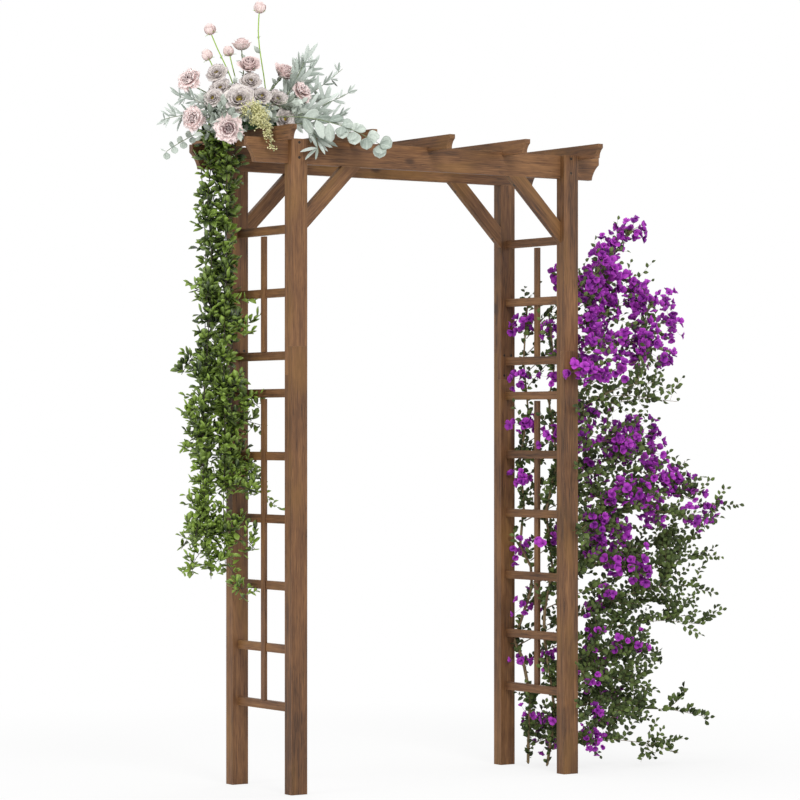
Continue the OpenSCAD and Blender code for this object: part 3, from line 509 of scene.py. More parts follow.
# Leaves share one way of being drawn, with their own colours: dark, light and vein
def leafMaterial(name, colours, roughness, sheen, fade=0.12):
    material, place = newMaterial(name)
    tone, across, along = bladeInputs(place)
    mottle = place.noise(180, 2.0)
    share = tone * 0.75 + (mottle - 0.5) * 0.5 + (along - 0.4) * fade
    colour = share.part(0.05, 0.95).mix(colours[0], colours[1])
    ribs = ((along - across * 0.9) * 60).wave().part(0.55, 1.0) * 0.22
    veins = ribs.most(across.part(0.02, 0.075, 0.75, 0.0))
    colour = (veins * 0.6).mix(colour, colours[2])
    return finishMaterial(material, colour, mottle * 0.2 + roughness, sheen, veins.bump(0.4, 0.0006))


def outline(far, broadest, foot, tip):      # half width along a leaf or petal, from 0 to 1
    if far < broadest:
        return foot + (1 - foot) * sin(far / broadest * pi / 2)
    return tip + (1 - tip) * sqrt(max(0.0, 1 - ((far - broadest) / (1 - broadest)) ** 2))


def leafShape(length, width, fold, droop, broadest=0.42, across=2, along=4, foot=0.0, tip=0.0):
    def form(side, far):
        swell = outline(far, broadest, foot, tip)
        lift = fold * abs(side) * width * swell - droop * length * far * far
        return Vector((side * width / 2 * swell, length * far, lift))
    return {"across": across, "along": along, "form": form, "scale": length / 0.03}


def barkMaterial(name, dark, light):
    material, place = newMaterial(name)
    grain = place.noise(260, 3.0, (1, 1, 0.2))
    patch = place.noise(30, 2.0)
    colour = (grain * 0.6 + patch * 0.5).part(0.3, 0.8).mix(dark, light)
    return finishMaterial(material, colour, 0.75, bump=grain.bump(0.5, 0.0008))


def placesAlong(name, spacing, keep=lambda foot: True):     # spots and directions along a node's stems
    bm = solidOf(name)
    found = []
    for line in bm.edges:
        start, end = line.verts[0].co, line.verts[1].co
        length = line.calc_length()
        if length < 0.012:      # an edge round a stem, not along it
            continue
        for number in range(int(length / spacing + random())):
            foot = start.lerp(end, random())
            if keep(foot):
                found.append({"foot": foot, "along": (end - start).normalized()})
    bm.free()
    return found


def addTwigs(bm, twigs, radius):
    rod = plantMesh()
    bmesh.ops.create_cone(rod, cap_ends=True, segments=5, radius1=radius, radius2=radius * 0.5, depth=1.0)
    bmesh.ops.translate(rod, verts=rod.verts, vec=(0, 0, 0.5))
    bmesh.ops.rotate(rod, verts=rod.verts, matrix=Matrix.Rotation(-pi / 2, 3, "X"))
    mesh = finishMesh(rod, "twig")
    for start, end in twigs:
        way = end - start
        place = standing(start, way.normalized(), 0, 1) @ Matrix.Diagonal((1, way.length, 1, 1))
        addCopy(bm, mesh, place, 0.2)


def addStems(bm, name, grow, isWanted=None):       # a rounded copy of a node's faceted stems
    copy = solidOf(name)
    if isWanted:        # short shoots that stand off too far are left out
        for group in islandsOf(copy):
            heights = [vert.co.z for vert in group]
            if max(heights) - min(heights) < 0.15 and not all(isWanted(vert.co) for vert in group):
                bmesh.ops.delete(copy, geom=group, context="VERTS")
    bmesh.ops.join_triangles(copy, faces=copy.faces, angle_face_threshold=0.3, angle_shape_threshold=3.1)
    bmesh.ops.subdivide_edges(copy, edges=copy.edges, cuts=1, use_grid_fill=True, smooth=0.0)
    bmesh.ops.smooth_vert(copy, verts=copy.verts, factor=0.35, use_axis_x=True, use_axis_y=True,
                          use_axis_z=True)
    for vert in copy.verts:
        vert.co += vert.normal * grow(vert.co)
    bm.from_mesh(finishMesh(copy, name + "Round"))


# The garland of leaves on the left
garlandSetup = {
    "leafLength": 0.038,
    "leafWidth": 0.0225,
    "bends": ((0.34, -0.30), (0.28, -0.50), (0.36, 0.02)),      # fold and droop of each kind of leaf
    "leavesPerSprig": 4,
    "sprigLength": 0.030,
    "lean": (0.6, 1.3),
    "rise": 0.25,
    "leafRise": 0.15,
    "toneShift": 0.0,
    "spacing": 0.120,       # between the spots along each line of a stem
    "bushTop": 1.36,
    "bushFoot": 0.80,
    "bushSprigs": 150,
    "colours": (rgb(20, 36, 16), rgb(140, 168, 66), rgb(150, 176, 90)),
    "bark": (rgb(44, 36, 36), rgb(78, 66, 56)),
    "youngBelow": 1.32,     # lower down, more of the leaves are young and yellow green
    "youngestBelow": 1.02,
    "narrowAbove": 1.70,    # up here the garland is a slim column
    "slimReach": 0.070,
    "looseTips": [(-0.574, 0.066, 1.611), (-0.557, 0.056, 1.552), (-0.498, 0.026, 0.930),
                  (-0.567, 0.052, 0.647), (-0.718, 0.172, 1.664), (-0.757, 0.184, 0.716)],
    "twigRadius": 0.0007,
    "stemSwell": 0.0004,
    "seed": 11,
}


def growSprigs(bm, leaves, anchors, setup):
    twigs = []
    for anchor in anchors:
        foot = anchor["foot"]
        bend = (anchor["along"] + up * setup["rise"]).normalized()
        twigs.append((foot, foot + bend * setup["sprigLength"]))
        base = uniform(0, fullTurn)
        light = random()
        for number in range(setup["leavesPerSprig"]):
            far = (number + 0.6) / setup["leavesPerSprig"]
            last = number == setup["leavesPerSprig"] - 1
            lean = 0.25 if last else uniform(*setup["lean"])
            way = spreading(bend, base + number * goldenTurn, lean)
            way = (way + up * setup["leafRise"]).normalized()
            size = uniform(0.72, 1.15) * (1.0 - 0.25 * far)
            spot = foot + bend * (setup["sprigLength"] * far)
            young = uniform(0.0, 0.35) if foot.z < setup["youngBelow"] else 0.0
            young = uniform(0.1, 0.6) if foot.z < setup["youngestBelow"] else young
            tone = min(1.0, 0.50 * light + uniform(0.0, 0.5) + young + setup["toneShift"])
            place = standing(spot, way, uniform(-0.8, 0.8), size * (1 - 0.6 * young))
            if isFree(spot, 0.001) and isFree(place @ Vector((0, setup["leafLength"], 0)), 0.002):
                addCopy(bm, choice(leaves), place, tone)
    return twigs


def growGarland(setup):
    seed(setup["seed"])
    stems = surfaceTree("garland_stems")
    anchors = anchorsOf("garland_leaves", stems, True)
    length, width = setup["leafLength"], setup["leafWidth"]
    leaves = [bladeMesh(leafShape(length, width, fold, droop, 0.55, 2, 4, 0.10, 0.15), 0.0004)
              for fold, droop in setup["bends"]]
    green = leafMaterial("garlandLeaf", setup["colours"], 0.30, 0.5, 0.5)
    spots = placesAlong("garland_stems", setup["spacing"])

    def fromMiddle(foot):       # how far a spot lies from the middle of the garland at its height
        near = [spot["foot"] for spot in spots if abs(spot["foot"].z - foot.z) < 0.06] or [foot]
        return foot - sum(near, Vector()) / len(near)

    def isWanted(foot):
        away = fromMiddle(foot)
        return foot.z < setup["narrowAbove"] or hypot(away.x, away.y) < setup["slimReach"]

    bm = plantMesh()
    twigs = growSprigs(bm, leaves, [anchor for anchor in anchors if isWanted(anchor["foot"])], setup)
    addPiece("garlandLeaves", bm, green, "garland_leaves")
    bm = plantMesh()
    single = dict(setup, leavesPerSprig=3, sprigLength=0.014, toneShift=-0.06)
    full = dict(setup, leavesPerSprig=6, sprigLength=0.066, toneShift=-0.08)
    bush = [spot for spot in spots if setup["bushFoot"] < spot["foot"].z < setup["bushTop"]]
    filled = []
    for spot in spots:
        away, foot = fromMiddle(spot["foot"]), spot["foot"]
        if not isWanted(foot):
            continue
        if random() < 0.5 and away.length > 0.015:       # these fill the middle of the garland
            foot = foot - away * uniform(0.2, 0.9)
        filled.append({"foot": foot, "along": spreading(spot["along"], uniform(0, wideTurn), 1.3)})
    twigs += growSprigs(bm, leaves, filled, single)
    for spot in sample(bush, min(len(bush), setup["bushSprigs"])):
        along = spreading(spot["along"], uniform(0, wideTurn), 1.3)
        twigs += growSprigs(bm, leaves, [{"foot": spot["foot"], "along": along}], full)
    for tip in setup["looseTips"]:      # young shoots that have come away from the garland
        foot = stems.find_nearest(Vector(tip))[0]
        reach = Vector(tip) - foot
        loose = dict(setup, leavesPerSprig=9, sprigLength=reach.length + 0.02, rise=0.0, toneShift=0.4)
        twigs += growSprigs(bm, leaves, [{"foot": foot, "along": reach.normalized()}], loose)
    addPiece("garlandFineLeaves", bm, green)
    bm = plantMesh()
    addTwigs(bm, twigs, setup["twigRadius"])
    addStems(bm, "garland_stems", lambda point: setup["stemSwell"], isWanted)
    addPiece("garlandStems", bm, barkMaterial("garlandStem", *setup["bark"]), "garland_stems")


growGarland(garlandSetup)
print("garland grown")


# The climber on the right: papery bracts in threes, and small dark leaves
climberSetup = {
    "leafLength": 0.026,
    "leafWidth": 0.0155,
    "bends": ((0.4, -0.1), (0.25, 0.2)),    # fold and droop of each kind of leaf
    "leavesPerSprig": 8,
    "sprigLength": 0.095,
    "spacing": 0.050,       # between the leaves along each line of a cane
    "extraSprigs": 300,
    "extraAbove": 0.12,
    "leafyBelow": 1.12,
    "slimBeyond": 0.98,     # out here, near the ground, each shoot is a slim one
    "slimBelow": 0.45,
    "slimLeaves": 2,
    "slimStep": 0.010,
    "highLeaves": 4,
    "bareFrom": (0.50, -0.045, 0.28),       # between these corners the old canes are nearly bare
    "bareTo": (0.605, 0.20, 0.92),
    "furthest": 1.375,      # no leaf reaches further out than this
    "postEdge": (0.600, -0.215),    # sprigs hang round this edge of the front right post
    "overPost": (0.225, 0.350, 0.835, 1.045, 1.250),
    "face": Vector((-0.5, -0.8, 0.25)),     # the side that most leaves turn to
    "colours": (rgb(42, 54, 28), rgb(114, 134, 68), rgb(118, 136, 78)),
    "bark": (rgb(82, 66, 44), rgb(150, 128, 92)),
    "bractLength": 0.022,
    "bractWidth": 0.023,
    "openings": (0.5, 0.75, 1.0),
    "bractCopies": (2, 4, 7),
    "bractReach": 0.050,
    "thinBelow": 0.62,      # near the ground the clusters are smaller
    "thinCopies": 3,
    "fullAbove": 1.80,      # and at the top they are full
    "fullCopies": 9,
    "lowCopies": 6,         # for each of the low heads
    "lowReach": 0.085,
    "lowHeads": [
        (0.929, 0.037, 0.748), (0.877, -0.129, 0.721), (0.819, -0.087, 0.585), (0.845, 0.038, 0.530),
        (0.912, -0.120, 0.395), (0.827, -0.118, 0.415), (0.877, 0.047, 0.322), (0.708, -0.095, 0.301),
        (0.975, 0.094, 0.220), (0.743, -0.087, 0.188), (0.740, -0.068, 0.472), (0.748, -0.051, 0.375)],
    "bractColours": (rgb(112, 26, 134), rgb(196, 72, 206), rgb(128, 28, 146)),
    "twigRadius": 0.0006,
    "stemSwell": 0.0005,
    "bareSwell": 0.0014,
    "seed": 23,
}


def bractMaterial(colours):
    material, place = newMaterial("purpleBract")
    tone, across, along = bladeInputs(place)
    mottle = place.noise(120, 2.0)
    share = tone * 0.6 + along * 0.45 + (mottle - 0.5) * 0.5
    colour = share.part(0.05, 1.0).mix(colours[0], colours[1])
    veins = ((across * 2.2 - along) * 42 + mottle * 3).wave().part(0.6, 1.0) * 0.5
    colour = (veins.most(across.part(0.0, 0.06, 0.8, 0.0)) * 0.5).mix(colour, colours[2])
    return finishMaterial(material, colour, 0.62, 0.25, veins.bump(0.4, 0.0006))


def bractShape(setup, opening):
    length, width = setup["bractLength"], setup["bractWidth"]

    def form(side, far):
        swell = outline(far, 0.58, 0.22, 0.42)
        rise = length * sin(opening) * far
        out = length * cos(opening) * far
        cup = 0.22 * side * side * width * swell
        return Vector((side * width / 2 * swell, out - 0.25 * cup, rise + cup - 0.18 * length * far * far))
    return {"across": 2, "along": 3, "form": form}


def addFloret(bm, bracts, twigs, foot, along, size, light):      # three bracts round a short stalk
    head = foot + along * 0.006 * size
    twigs.append((foot, head))
    spin = uniform(0, fullTurn)
    for third in range(3):
        place = standing(head, along, spin + third * 2 * pi / 3, size, "Z")
        addCopy(bm, choice(bracts), place, light + uniform(-0.12, 0.12))


def growBracts(setup, stems, twigs):
    bracts = [bladeMesh(bractShape(setup, opening), 0.0003) for opening in setup["openings"]]
    purple = bractMaterial(setup["bractColours"])
    anchors = anchorsOf("climber_bracts", stems)
    split = sorted(anchor["foot"].z for anchor in anchors)[len(anchors) // 2]
    for spot in setup["lowHeads"]:      # small heads that show between the lower leaves
        foot = stems.find_nearest(Vector(spot))[0]
        along = (setup["face"] + up * 0.4 + anyWay(0.2)).normalized()
        anchors.append({"foot": foot, "along": along, "reach": setup["lowReach"],
                        "copies": setup["lowCopies"]})
    for isUpper, name, replaced in ((True, "climberBractsUpper", "climber_bracts"),
                                    (False, "climberBractsLower", None)):
        bm = plantMesh()
        for anchor in anchors:
            start = anchor["foot"]
            if (start.z > split) != isUpper:
                continue
            low, tall = start.z < setup["thinBelow"], start.z > setup["fullAbove"]
            reach = anchor.get("reach", setup["bractReach"])
            copies = (setup["thinCopies"] if low else setup["fullCopies"] if tall
                      else choice(setup["bractCopies"]))
            copies = anchor.get("copies", copies)
            sink = up * (-0.3 if tall else 0.0)
            for copy in range(copies):
                along, foot = anchor["along"], start
                if copy:        # more of the cluster, on fine stalks of its own
                    way = (anchor["along"] + sink + anyWay(0.4 if "reach" in anchor else 0.7)).normalized()
                    foot = foot + way * uniform(0.35, 1.0) * reach
                    along = (way + anyWay(0.3) + Vector((-0.1, -0.25, 0))).normalized()
                    if not isFree(foot + along * 0.012, 0.012):
                        continue
                    twigs.append((start, foot))
                size = uniform(0.75, 1.15) * (0.85 if low else 1.0)
                addFloret(bm, bracts, twigs, foot, along, size, uniform(0.1, 0.95))
        addPiece(name, bm, purple, replaced)


def isSlim(point, setup):
    return point.x > setup["slimBeyond"] and point.z < setup["slimBelow"]


def isBare(point, setup):
    return all(setup["bareFrom"][k] < point[k] < setup["bareTo"][k] for k in range(3))


def growShoots(bm, leaves, anchors, setup):        # sprigs that arch, with a leaf to either side in turn
    twigs = []
    for anchor in anchors:
        spot, way = anchor["foot"], (anchor["along"] + up * 0.35).normalized()
        count = setup["leavesPerSprig" if spot.z < setup["leafyBelow"] else "highLeaves"]
        step = setup["sprigLength"] / count
        if isSlim(spot, setup):
            count, step = setup["slimLeaves"], setup["slimStep"]
        light, bend = random(), Vector((0.10, 0, uniform(-0.12, 0.10)))
        for number in range(count):
            end = spot + way * step
            if not isFree(end, 0.004) or end.x > setup["furthest"]:
                break
            twigs.append((spot, end))
            spot, way = end, (way + bend).normalized()
            face = (setup["face"] + anyWay(0.45)).normalized()
            side = way.cross(face).normalized() * (1 if number % 2 else -1)
            lean = 0.15 if number == count - 1 else uniform(0.55, 1.15)
            leaf = (way * cos(lean) + side * sin(lean)).normalized()
            size = uniform(0.8, 1.15) * (1.05 - 0.35 * number / count)
            place = laidOut(spot, leaf, face, size)
            tip = place @ Vector((0, setup["leafLength"], 0))
            if isFree(tip, 0.003) and tip.x < setup["furthest"]:
                addCopy(bm, choice(leaves), place, 0.45 * light + uniform(0, 0.55))
    return twigs


def growClimber(setup):
    seed(setup["seed"])
    stems = surfaceTree("climber_stems")
    leaves = [bladeMesh(leafShape(setup["leafLength"], setup["leafWidth"], fold, droop, 0.42, 2, 3), 0.0003)
              for fold, droop in setup["bends"]]
    green = leafMaterial("climberLeaf", setup["colours"], 0.5, 0.3)
    bm = plantMesh()
    twigs = growShoots(bm, leaves, anchorsOf("climber_leaves", stems, True), setup)
    short = dict(setup, leavesPerSprig=5, sprigLength=0.055)
    for height in setup["overPost"]:
        foot = Vector((*setup["postEdge"], height))
        bend = foot + Vector((0.006, 0.055, -0.010))
        twigs += [(stems.find_nearest(bend)[0], bend), (bend, foot)]
        for way in (Vector((-0.8, -0.25, -0.1)), Vector((-0.3, -0.3, -0.9))):
            twigs += growShoots(bm, leaves, [{"foot": foot, "along": way}], short)
    addPiece("climberLeaves", bm, green, "climber_leaves")

    # finer sprigs fill the plant between the canes
    points = [point for group in solidIslands("climber_stems") for point in group
              if point.z > setup["extraAbove"]]
    fine = []
    while len(fine) < setup["extraSprigs"]:
        foot = choice(points)
        if foot.z > setup["leafyBelow"] and random() < 0.8:
            continue
        if isSlim(foot, setup) or isBare(foot, setup):
            continue
        way = (anyWay(0.5) + Vector((0.5, -0.1, 0.3))).normalized()
        if isFree(foot + way * 0.03, 0.006):
            fine.append({"foot": foot, "along": way})
    bm = plantMesh()
    twigs += growShoots(bm, leaves, fine, setup)

    def isLeafy(point):
        return 0.1 < point.z < setup["leafyBelow"] or random() < 0.45

    for spot in placesAlong("climber_stems", setup["spacing"], isLeafy):
        if isBare(spot["foot"], setup) and random() < 0.8:
            continue
        way = spot["along"] if spot["along"].x > 0 else -spot["along"]
        way = (spreading(way, uniform(0, wideTurn), 0.9) + up * 0.5).normalized()
        place = laidOut(spot["foot"], way, setup["face"] + anyWay(0.5), uniform(0.75, 1.15))
        if isFree(place @ Vector((0, setup["leafLength"], 0)), 0.003):
            addCopy(bm, choice(leaves), place, uniform(0, 1))
    addPiece("climberFineLeaves", bm, green)

    growBracts(setup, stems, twigs)
    bm = plantMesh()
    addTwigs(bm, twigs, setup["twigRadius"])
    addStems(bm, "climber_stems", lambda point: setup["bareSwell" if isBare(point, setup) else "stemSwell"])
    addPiece("climberStems", bm, barkMaterial("climberStem", *setup["bark"]), "climber_stems")


growClimber(climberSetup)
print("climber grown")


# The bouquet: each bloom is rings of petals round an axis, drawn for a bloom of radius 1
bloomSetup = {
    "rose": {
        "rings": [      # petals, length, width, rise at foot and tip, foot radius and height, roll, tone; the tone is lower on the inner rings, painted shade in the heart of the bloom
            (5, 1.40, 1.60, 16, 76, 0.10, 0.06, 0.30, 1.0),
            (5, 1.40, 1.40, 36, 90, 0.10, 0.12, 0.20, 0.80),
            (5, 1.38, 1.10, 54, 97, 0.09, 0.18, 0.10, 0.55),
            (5, 1.34, 0.85, 66, 100, 0.07, 0.22, 0.05, 0.32),
            (4, 1.28, 0.62, 78, 99, 0.04, 0.26, 0.0, 0.10)],
        "frill": 0.035, "waves": 5, "notch": 0.0, "grow": 1.08},
    "carnation": {
        "rings": [
            (6, 1.02, 1.15, -12, 30, 0.10, 0.50, 0.10, 1.0),
            (6, 0.94, 1.00, 12, 50, 0.10, 0.53, 0.08, 0.90),
            (6, 0.84, 0.84, 34, 68, 0.09, 0.56, 0.06, 0.75),
            (5, 0.72, 0.66, 54, 84, 0.07, 0.58, 0.04, 0.50),
            (4, 0.62, 0.50, 72, 92, 0.04, 0.60, 0.0, 0.25)],
        "frill": 0.12, "waves": 8, "notch": 0.07, "grow": 1.0},
    "open": {       # the lowest carnation shows its face, with broad outer petals
        "rings": [
            (6, 1.04, 1.25, -10, 18, 0.10, 0.50, 0.10, 0.72),
            (6, 0.90, 1.05, 6, 34, 0.10, 0.53, 0.08, 0.58),
            (6, 0.66, 0.72, 24, 56, 0.08, 0.56, 0.05, 0.42),
            (6, 0.48, 0.42, 44, 78, 0.05, 0.58, 0.02, 0.16),
            (5, 0.36, 0.26, 66, 90, 0.03, 0.58, 0.0, 0.0)],
        "frill": 0.10, "waves": 7, "notch": 0.08, "grow": 1.0},
    "pale": {
        "rings": [
            (6, 1.04, 1.22, 0, 46, 0.10, 0.02, 0.12, 1.0),
            (6, 0.92, 1.05, 18, 66, 0.10, 0.05, 0.08, 0.85),
            (6, 0.78, 0.86, 34, 80, 0.10, 0.07, 0.05, 0.68),
            (5, 0.62, 0.66, 48, 92, 0.10, 0.08, 0.02, 0.45)],
        "frill": 0.05, "waves": 6, "notch": 0.03, "grow": 1.16},
    "bud": {
        "rings": [
            (3, 2.50, 2.45, 8, 136, 0.14, 0.06, 0.12, 0.95),
            (3, 2.62, 2.25, 12, 140, 0.12, 0.12, 0.08, 0.72),
            (3, 2.80, 1.80, 22, 138, 0.08, 0.16, 0.04, 0.55)],
        "frill": 0.02, "waves": 3, "notch": 0.0, "grow": 1.16},
    "seed": 37,
}
foliageSetup = {
    "leafColours": (rgb(146, 158, 147), rgb(220, 228, 221), rgb(205, 214, 206)),
    "roundColours": (rgb(136, 149, 139), rgb(212, 221, 211), rgb(212, 221, 211)),
    "fillColours": (rgb(122, 131, 118), rgb(222, 230, 220), rgb(205, 214, 206)),
    "fillLength": 0.036,
    "fillWidth": 0.017,
    "fillTwigs": 74,
    "leavesPerTwig": 8,
    "stamens": 28,
    "broadSeeds": (0.030, 24),      # how far seeds stand off in the spray, and how many they are
    "tailSeeds": (0.016, 12),
    "longGrow": 1.36,
    "stemColours": (rgb(118, 132, 96), rgb(150, 186, 52), rgb(92, 104, 62)),    # grey, bright and fleck
    "seedColours": (rgb(241, 237, 188), rgb(178, 176, 118)),
    "heartColours": (rgb(208, 188, 74), rgb(132, 116, 52)),
    "face": Vector((-0.5, -0.8, 0.2)),      # the side that the leaves turn to
    "front": Vector((-0.56, -0.83, 0.0)),   # where a bloom must stay in sight
    "cups": {       # height and width of the cup, length and width of its pointed leaves, curl, lean, tone
        "rose": (0.2, 0.22, 0.6, 0.24, 0.25, 0.5, 0.3),
        "carnation": (0.58, 0.20, 0.3, 0.12, 0.0, 1.0, 0.3),
        "pale": (0.08, 0.14, 0.4, 0.16, 0.0, 0.2, 0.3),
        "bud": (0.3, 0.42, 1.2, 0.26, 0.15, 0.15, 0.9)},
    "petals": {     # pale, deep and rim colour, and the rim's share; the deep colour is painted shade at the petals' feet and in the heart of the bloom
        "rose": (rgb(232, 214, 211), rgb(92, 62, 64), rgb(240, 214, 212), 0.5),
        "carnation": (rgb(252, 232, 229), rgb(112, 60, 64), rgb(255, 244, 242), 0.5),
        "pale": (rgb(234, 227, 222), rgb(126, 112, 114), rgb(150, 132, 138), 0.6),
        "bud": (rgb(234, 214, 210), rgb(176, 146, 144), rgb(238, 208, 206), 0.4)},
    "twigRadius": 0.0008,
    "stalkRadius": 0.0004,
    "stemSwell": 0.0002,
    "budReach": 0.008,      # a stem that ends this near to a bud is the bud's own
}


def petalForm(ring, bloom, shift):
    length, width, low, high, radius, height, roll = ring[1:8]
    low, high = radians(low), radians(high)
    bend = high - low
    wrap = 0.5 / max(0.25, radius + length * (sin(min(high, pi / 2)) - sin(low)) / bend)

    def form(side, far):
        swell = outline(far, 0.62, 0.30, 0.38)
        across = side * width / 2 * swell
        reach = far * (1 - bloom["notch"] * (0.5 + 0.5 * cos(side * bloom["waves"] * 2 + shift)))
        out = radius + length * (sin(low + bend * reach) - sin(low)) / bend
        rise = height + length * (cos(low) - cos(low + bend * reach)) / bend
        frill = bloom["frill"] * far ** 3
        out += roll * far ** 5 - wrap * across * across + 0.10 * across
        out += frill * sin(side * bloom["waves"] + shift)
        rise += frill * cos(side * bloom["waves"] * 1.3 + shift * 2) - 0.4 * roll * far ** 5
        return Vector((across, out, rise))
    return form


def petalMeshes(kind, fine):        # three versions of the petals in each ring
    def petal(number, ring, version):
        form = petalForm(ring, bloomSetup[kind], 2.1 * version + number)
        return bladeMesh({"across": fine, "along": fine, "form": form}, 0.012)
    return [[petal(number, ring, version) for version in range(3)]
            for number, ring in enumerate(bloomSetup[kind]["rings"])]


def growBlooms(kind, node, stems, fine):
    bm = plantMesh()
    anchors = anchorsOf(node, stems)
    forms = {name: petalMeshes(name, fine) for name in ([kind, "open"] if kind == "carnation" else [kind])}
    for order, anchor in enumerate(anchors):
        name = "open" if kind == "carnation" and order == 0 else kind
        anchor["size"] = anchor["side"] * bloomSetup[name]["grow"]
        if kind == "rose" and order < len(anchors) - 1:     # all but the highest rose look to the front
            anchor["along"] = (anchor["along"] + foliageSetup["front"] * 0.55).normalized()
        place = standing(anchor["foot"], anchor["along"], uniform(0, fullTurn), anchor["size"], "Z")
        for number, ring in enumerate(bloomSetup[name]["rings"]):
            count, tone = ring[0], ring[-1]
            for petal in range(count):
                angle = fullTurn * (petal + 0.5 * number) / count + uniform(-0.14, 0.14)
                tilt = Matrix.Rotation(uniform(-0.07, 0.07), 4, "X")
                spot = place @ Matrix.Rotation(angle, 4, "Z") @ tilt
                spot = spot @ Matrix.Scale(uniform(0.93, 1.04), 4)
                addCopy(bm, choice(forms[name][number]), spot, tone + uniform(-0.08, 0.08))
    return bm, anchors


def petalMaterial(name, pale, deep, edge, rimShare):
    material, place = newMaterial(name)
    tone, across, along = bladeInputs(place)
    veins = place.make("TexCoord", output=2).noise(9, 2.0, (5, 0.5, 1))
    mottle = place.noise(70, 2.0)
    # painted shade: each petal turns to the deep colour towards its foot, and more so on the inner rings
    share = tone * 0.78 + along * 0.86 - 0.62 + (mottle - 0.5) * 0.35 + (veins - 0.5) * 0.6
    rim = along.part(0.84, 1.0).most(across.part(0.40, 0.5) * 0.7)
    colour = (rim * rimShare).mix(share.part(0.0, 0.62).mix(deep, pale), edge)
    return finishMaterial(material, colour, 0.6, 0.25, veins.bump(0.25, 0.001))


def seedMesh(radius, level):
    bm = plantMesh()
    bmesh.ops.create_icosphere(bm, subdivisions=level, radius=radius)
    return finishMesh(bm, "seed")


def seedMaterial(name, light, dark):
    material, place = newMaterial(name)
    speck = place.noise(600, 2.0)
    colour = (toneOf(place) * 0.8 + (speck - 0.4)).part(0.0, 1.0).mix(dark, light)
    return finishMaterial(material, colour, speck * 0.2 + 0.5, 0.3)


def addCups(bm, anchors, height, width, length, broad, curl, lean, tone):
    cup = plantMesh()       # the green cup under a bloom, with its pointed leaves
    bmesh.ops.create_cone(cup, cap_ends=True, segments=10, radius1=0.07, radius2=width, depth=height)
    bmesh.ops.translate(cup, verts=cup.verts, vec=(0, 0, height / 2))
    cup = finishMesh(cup, "flowerCup")
    leaf = bladeMesh(leafShape(length, broad, 0.3, curl), 0.012)
    foot = Matrix.Translation((0, width * 0.8, height * 0.85))
    for anchor in anchors:
        place = standing(anchor["foot"], anchor["along"], uniform(0, 1), anchor["size"], "Z")
        addCopy(bm, cup, place, tone)
        for number in range(5):
            turn = place @ Matrix.Rotation(fullTurn * number / 5, 4, "Z")
            tilt = Matrix.Rotation(lean + uniform(-0.3, 0.3), 4, "X")
            addCopy(bm, leaf, turn @ (foot @ tilt), tone)


def growHearts(anchors, setup):       # yellow stamens in the middle of the pale blooms
    bm = plantMesh()
    ball, bead = seedMesh(0.12, 2), seedMesh(0.032, 1)
    twigs = []
    for anchor in anchors:
        place = standing(anchor["foot"], anchor["along"], 0, anchor["size"], "Z")
        addCopy(bm, ball, place @ Matrix.Translation((0, 0, 0.18)), 0.7)
        for number in range(setup["stamens"]):
            angle, far = number * goldenTurn, 0.08 + 0.17 * sqrt(number / setup["stamens"])
            spot = place @ Vector((far * cos(angle), far * sin(angle), 0.42 - 0.7 * far))
            foot = place @ Vector((0.3 * far * cos(angle), 0.3 * far * sin(angle), 0.14))
            addCopy(bm, bead, Matrix.Translation(spot) @ Matrix.Scale(anchor["size"], 4), random())
            twigs.append((foot, spot))
    addTwigs(bm, twigs, setup["stalkRadius"])
    addPiece("bloomHearts", bm, seedMaterial("bloomHeart", *setup["heartColours"]))


def growFlowers(setup, stems, green):
    seed(bloomSetup["seed"])
    made = {}
    for kind, node, name, slot, fine in (
            ("rose", "bouquet_roses", "bouquetRoses", "dusty_rose_petals", 7),
            ("carnation", "bouquet_carnations", "bouquetCarnations", "pink_petals", 8),
            ("pale", "bouquet_pale_blooms", "bouquetPaleBlooms", "pale_petals", 7),
            ("bud", "bouquet_buds", "bouquetBuds", "dusty_rose_petals", 7)):
        bm, made[kind] = growBlooms(kind, node, stems, fine)
        addPiece(name, bm, petalMaterial(kind + "Petal", *setup["petals"][kind]), node)
        addCups(green, made[kind], *setup["cups"][kind])
    growHearts(made["pale"], setup)
    return made


# Leaves of the bouquet: the long ones, the round ones and small ones between the blooms
def hidesBloom(point, blooms):
    for anchor in sum(blooms.values(), []):
        way = point - anchor["middle"]
        for look in (anchor["along"], foliageSetup["front"]):
            out = way.dot(look)
            if -0.1 * anchor["size"] < out < 0.16 and (way - look * out).length < anchor["size"] * 0.95:
                return True
    return False


def growFilling(bm, setup, blooms):
    low, high = (Vector(corner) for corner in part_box("bouquet_foam"))
    heart = low.lerp(high, 0.5)
    leaves = [bladeMesh(leafShape(setup["fillLength"], setup["fillWidth"], 0.3, droop, 0.5, along=3), 0.0003)
              for droop in (0.05, 0.22)]
    twigs, count = [], setup["leavesPerTwig"]
    for number in range(setup["fillTwigs"]):
        # a twig starts on the foam's top, front or an end
        spot = Vector([uniform(low[k], high[k]) for k in range(3)])
        axis, corner = ((2, high), (2, high), (1, low), (0, low), (0, high))[number % 5]
        spot[axis] = corner[axis]
        out = (spot - heart).normalized() + Vector((0, -0.25, 0.35)) + anyWay(0.25)
        out.normalize()
        length = uniform(0.055, 0.105)
        twigs.append((spot, spot + out * length))
        for leaf in range(count):
            far = (leaf + 1.2) / (count + 0.5)
            lean = 0.25 if leaf == count - 1 else uniform(0.6, 1.1)
            way = spreading(out, leaf * goldenTurn + number, lean)
            face = setup["face"] + anyWay(0.5)
            place = laidOut(spot + out * (length * far), way, face, uniform(0.7, 1.15))
            if not hidesBloom(place @ Vector((0, 0.5 * setup["fillLength"], 0)), blooms):
                addCopy(bm, choice(leaves), place, uniform(0.0, 1.0))
    return twigs


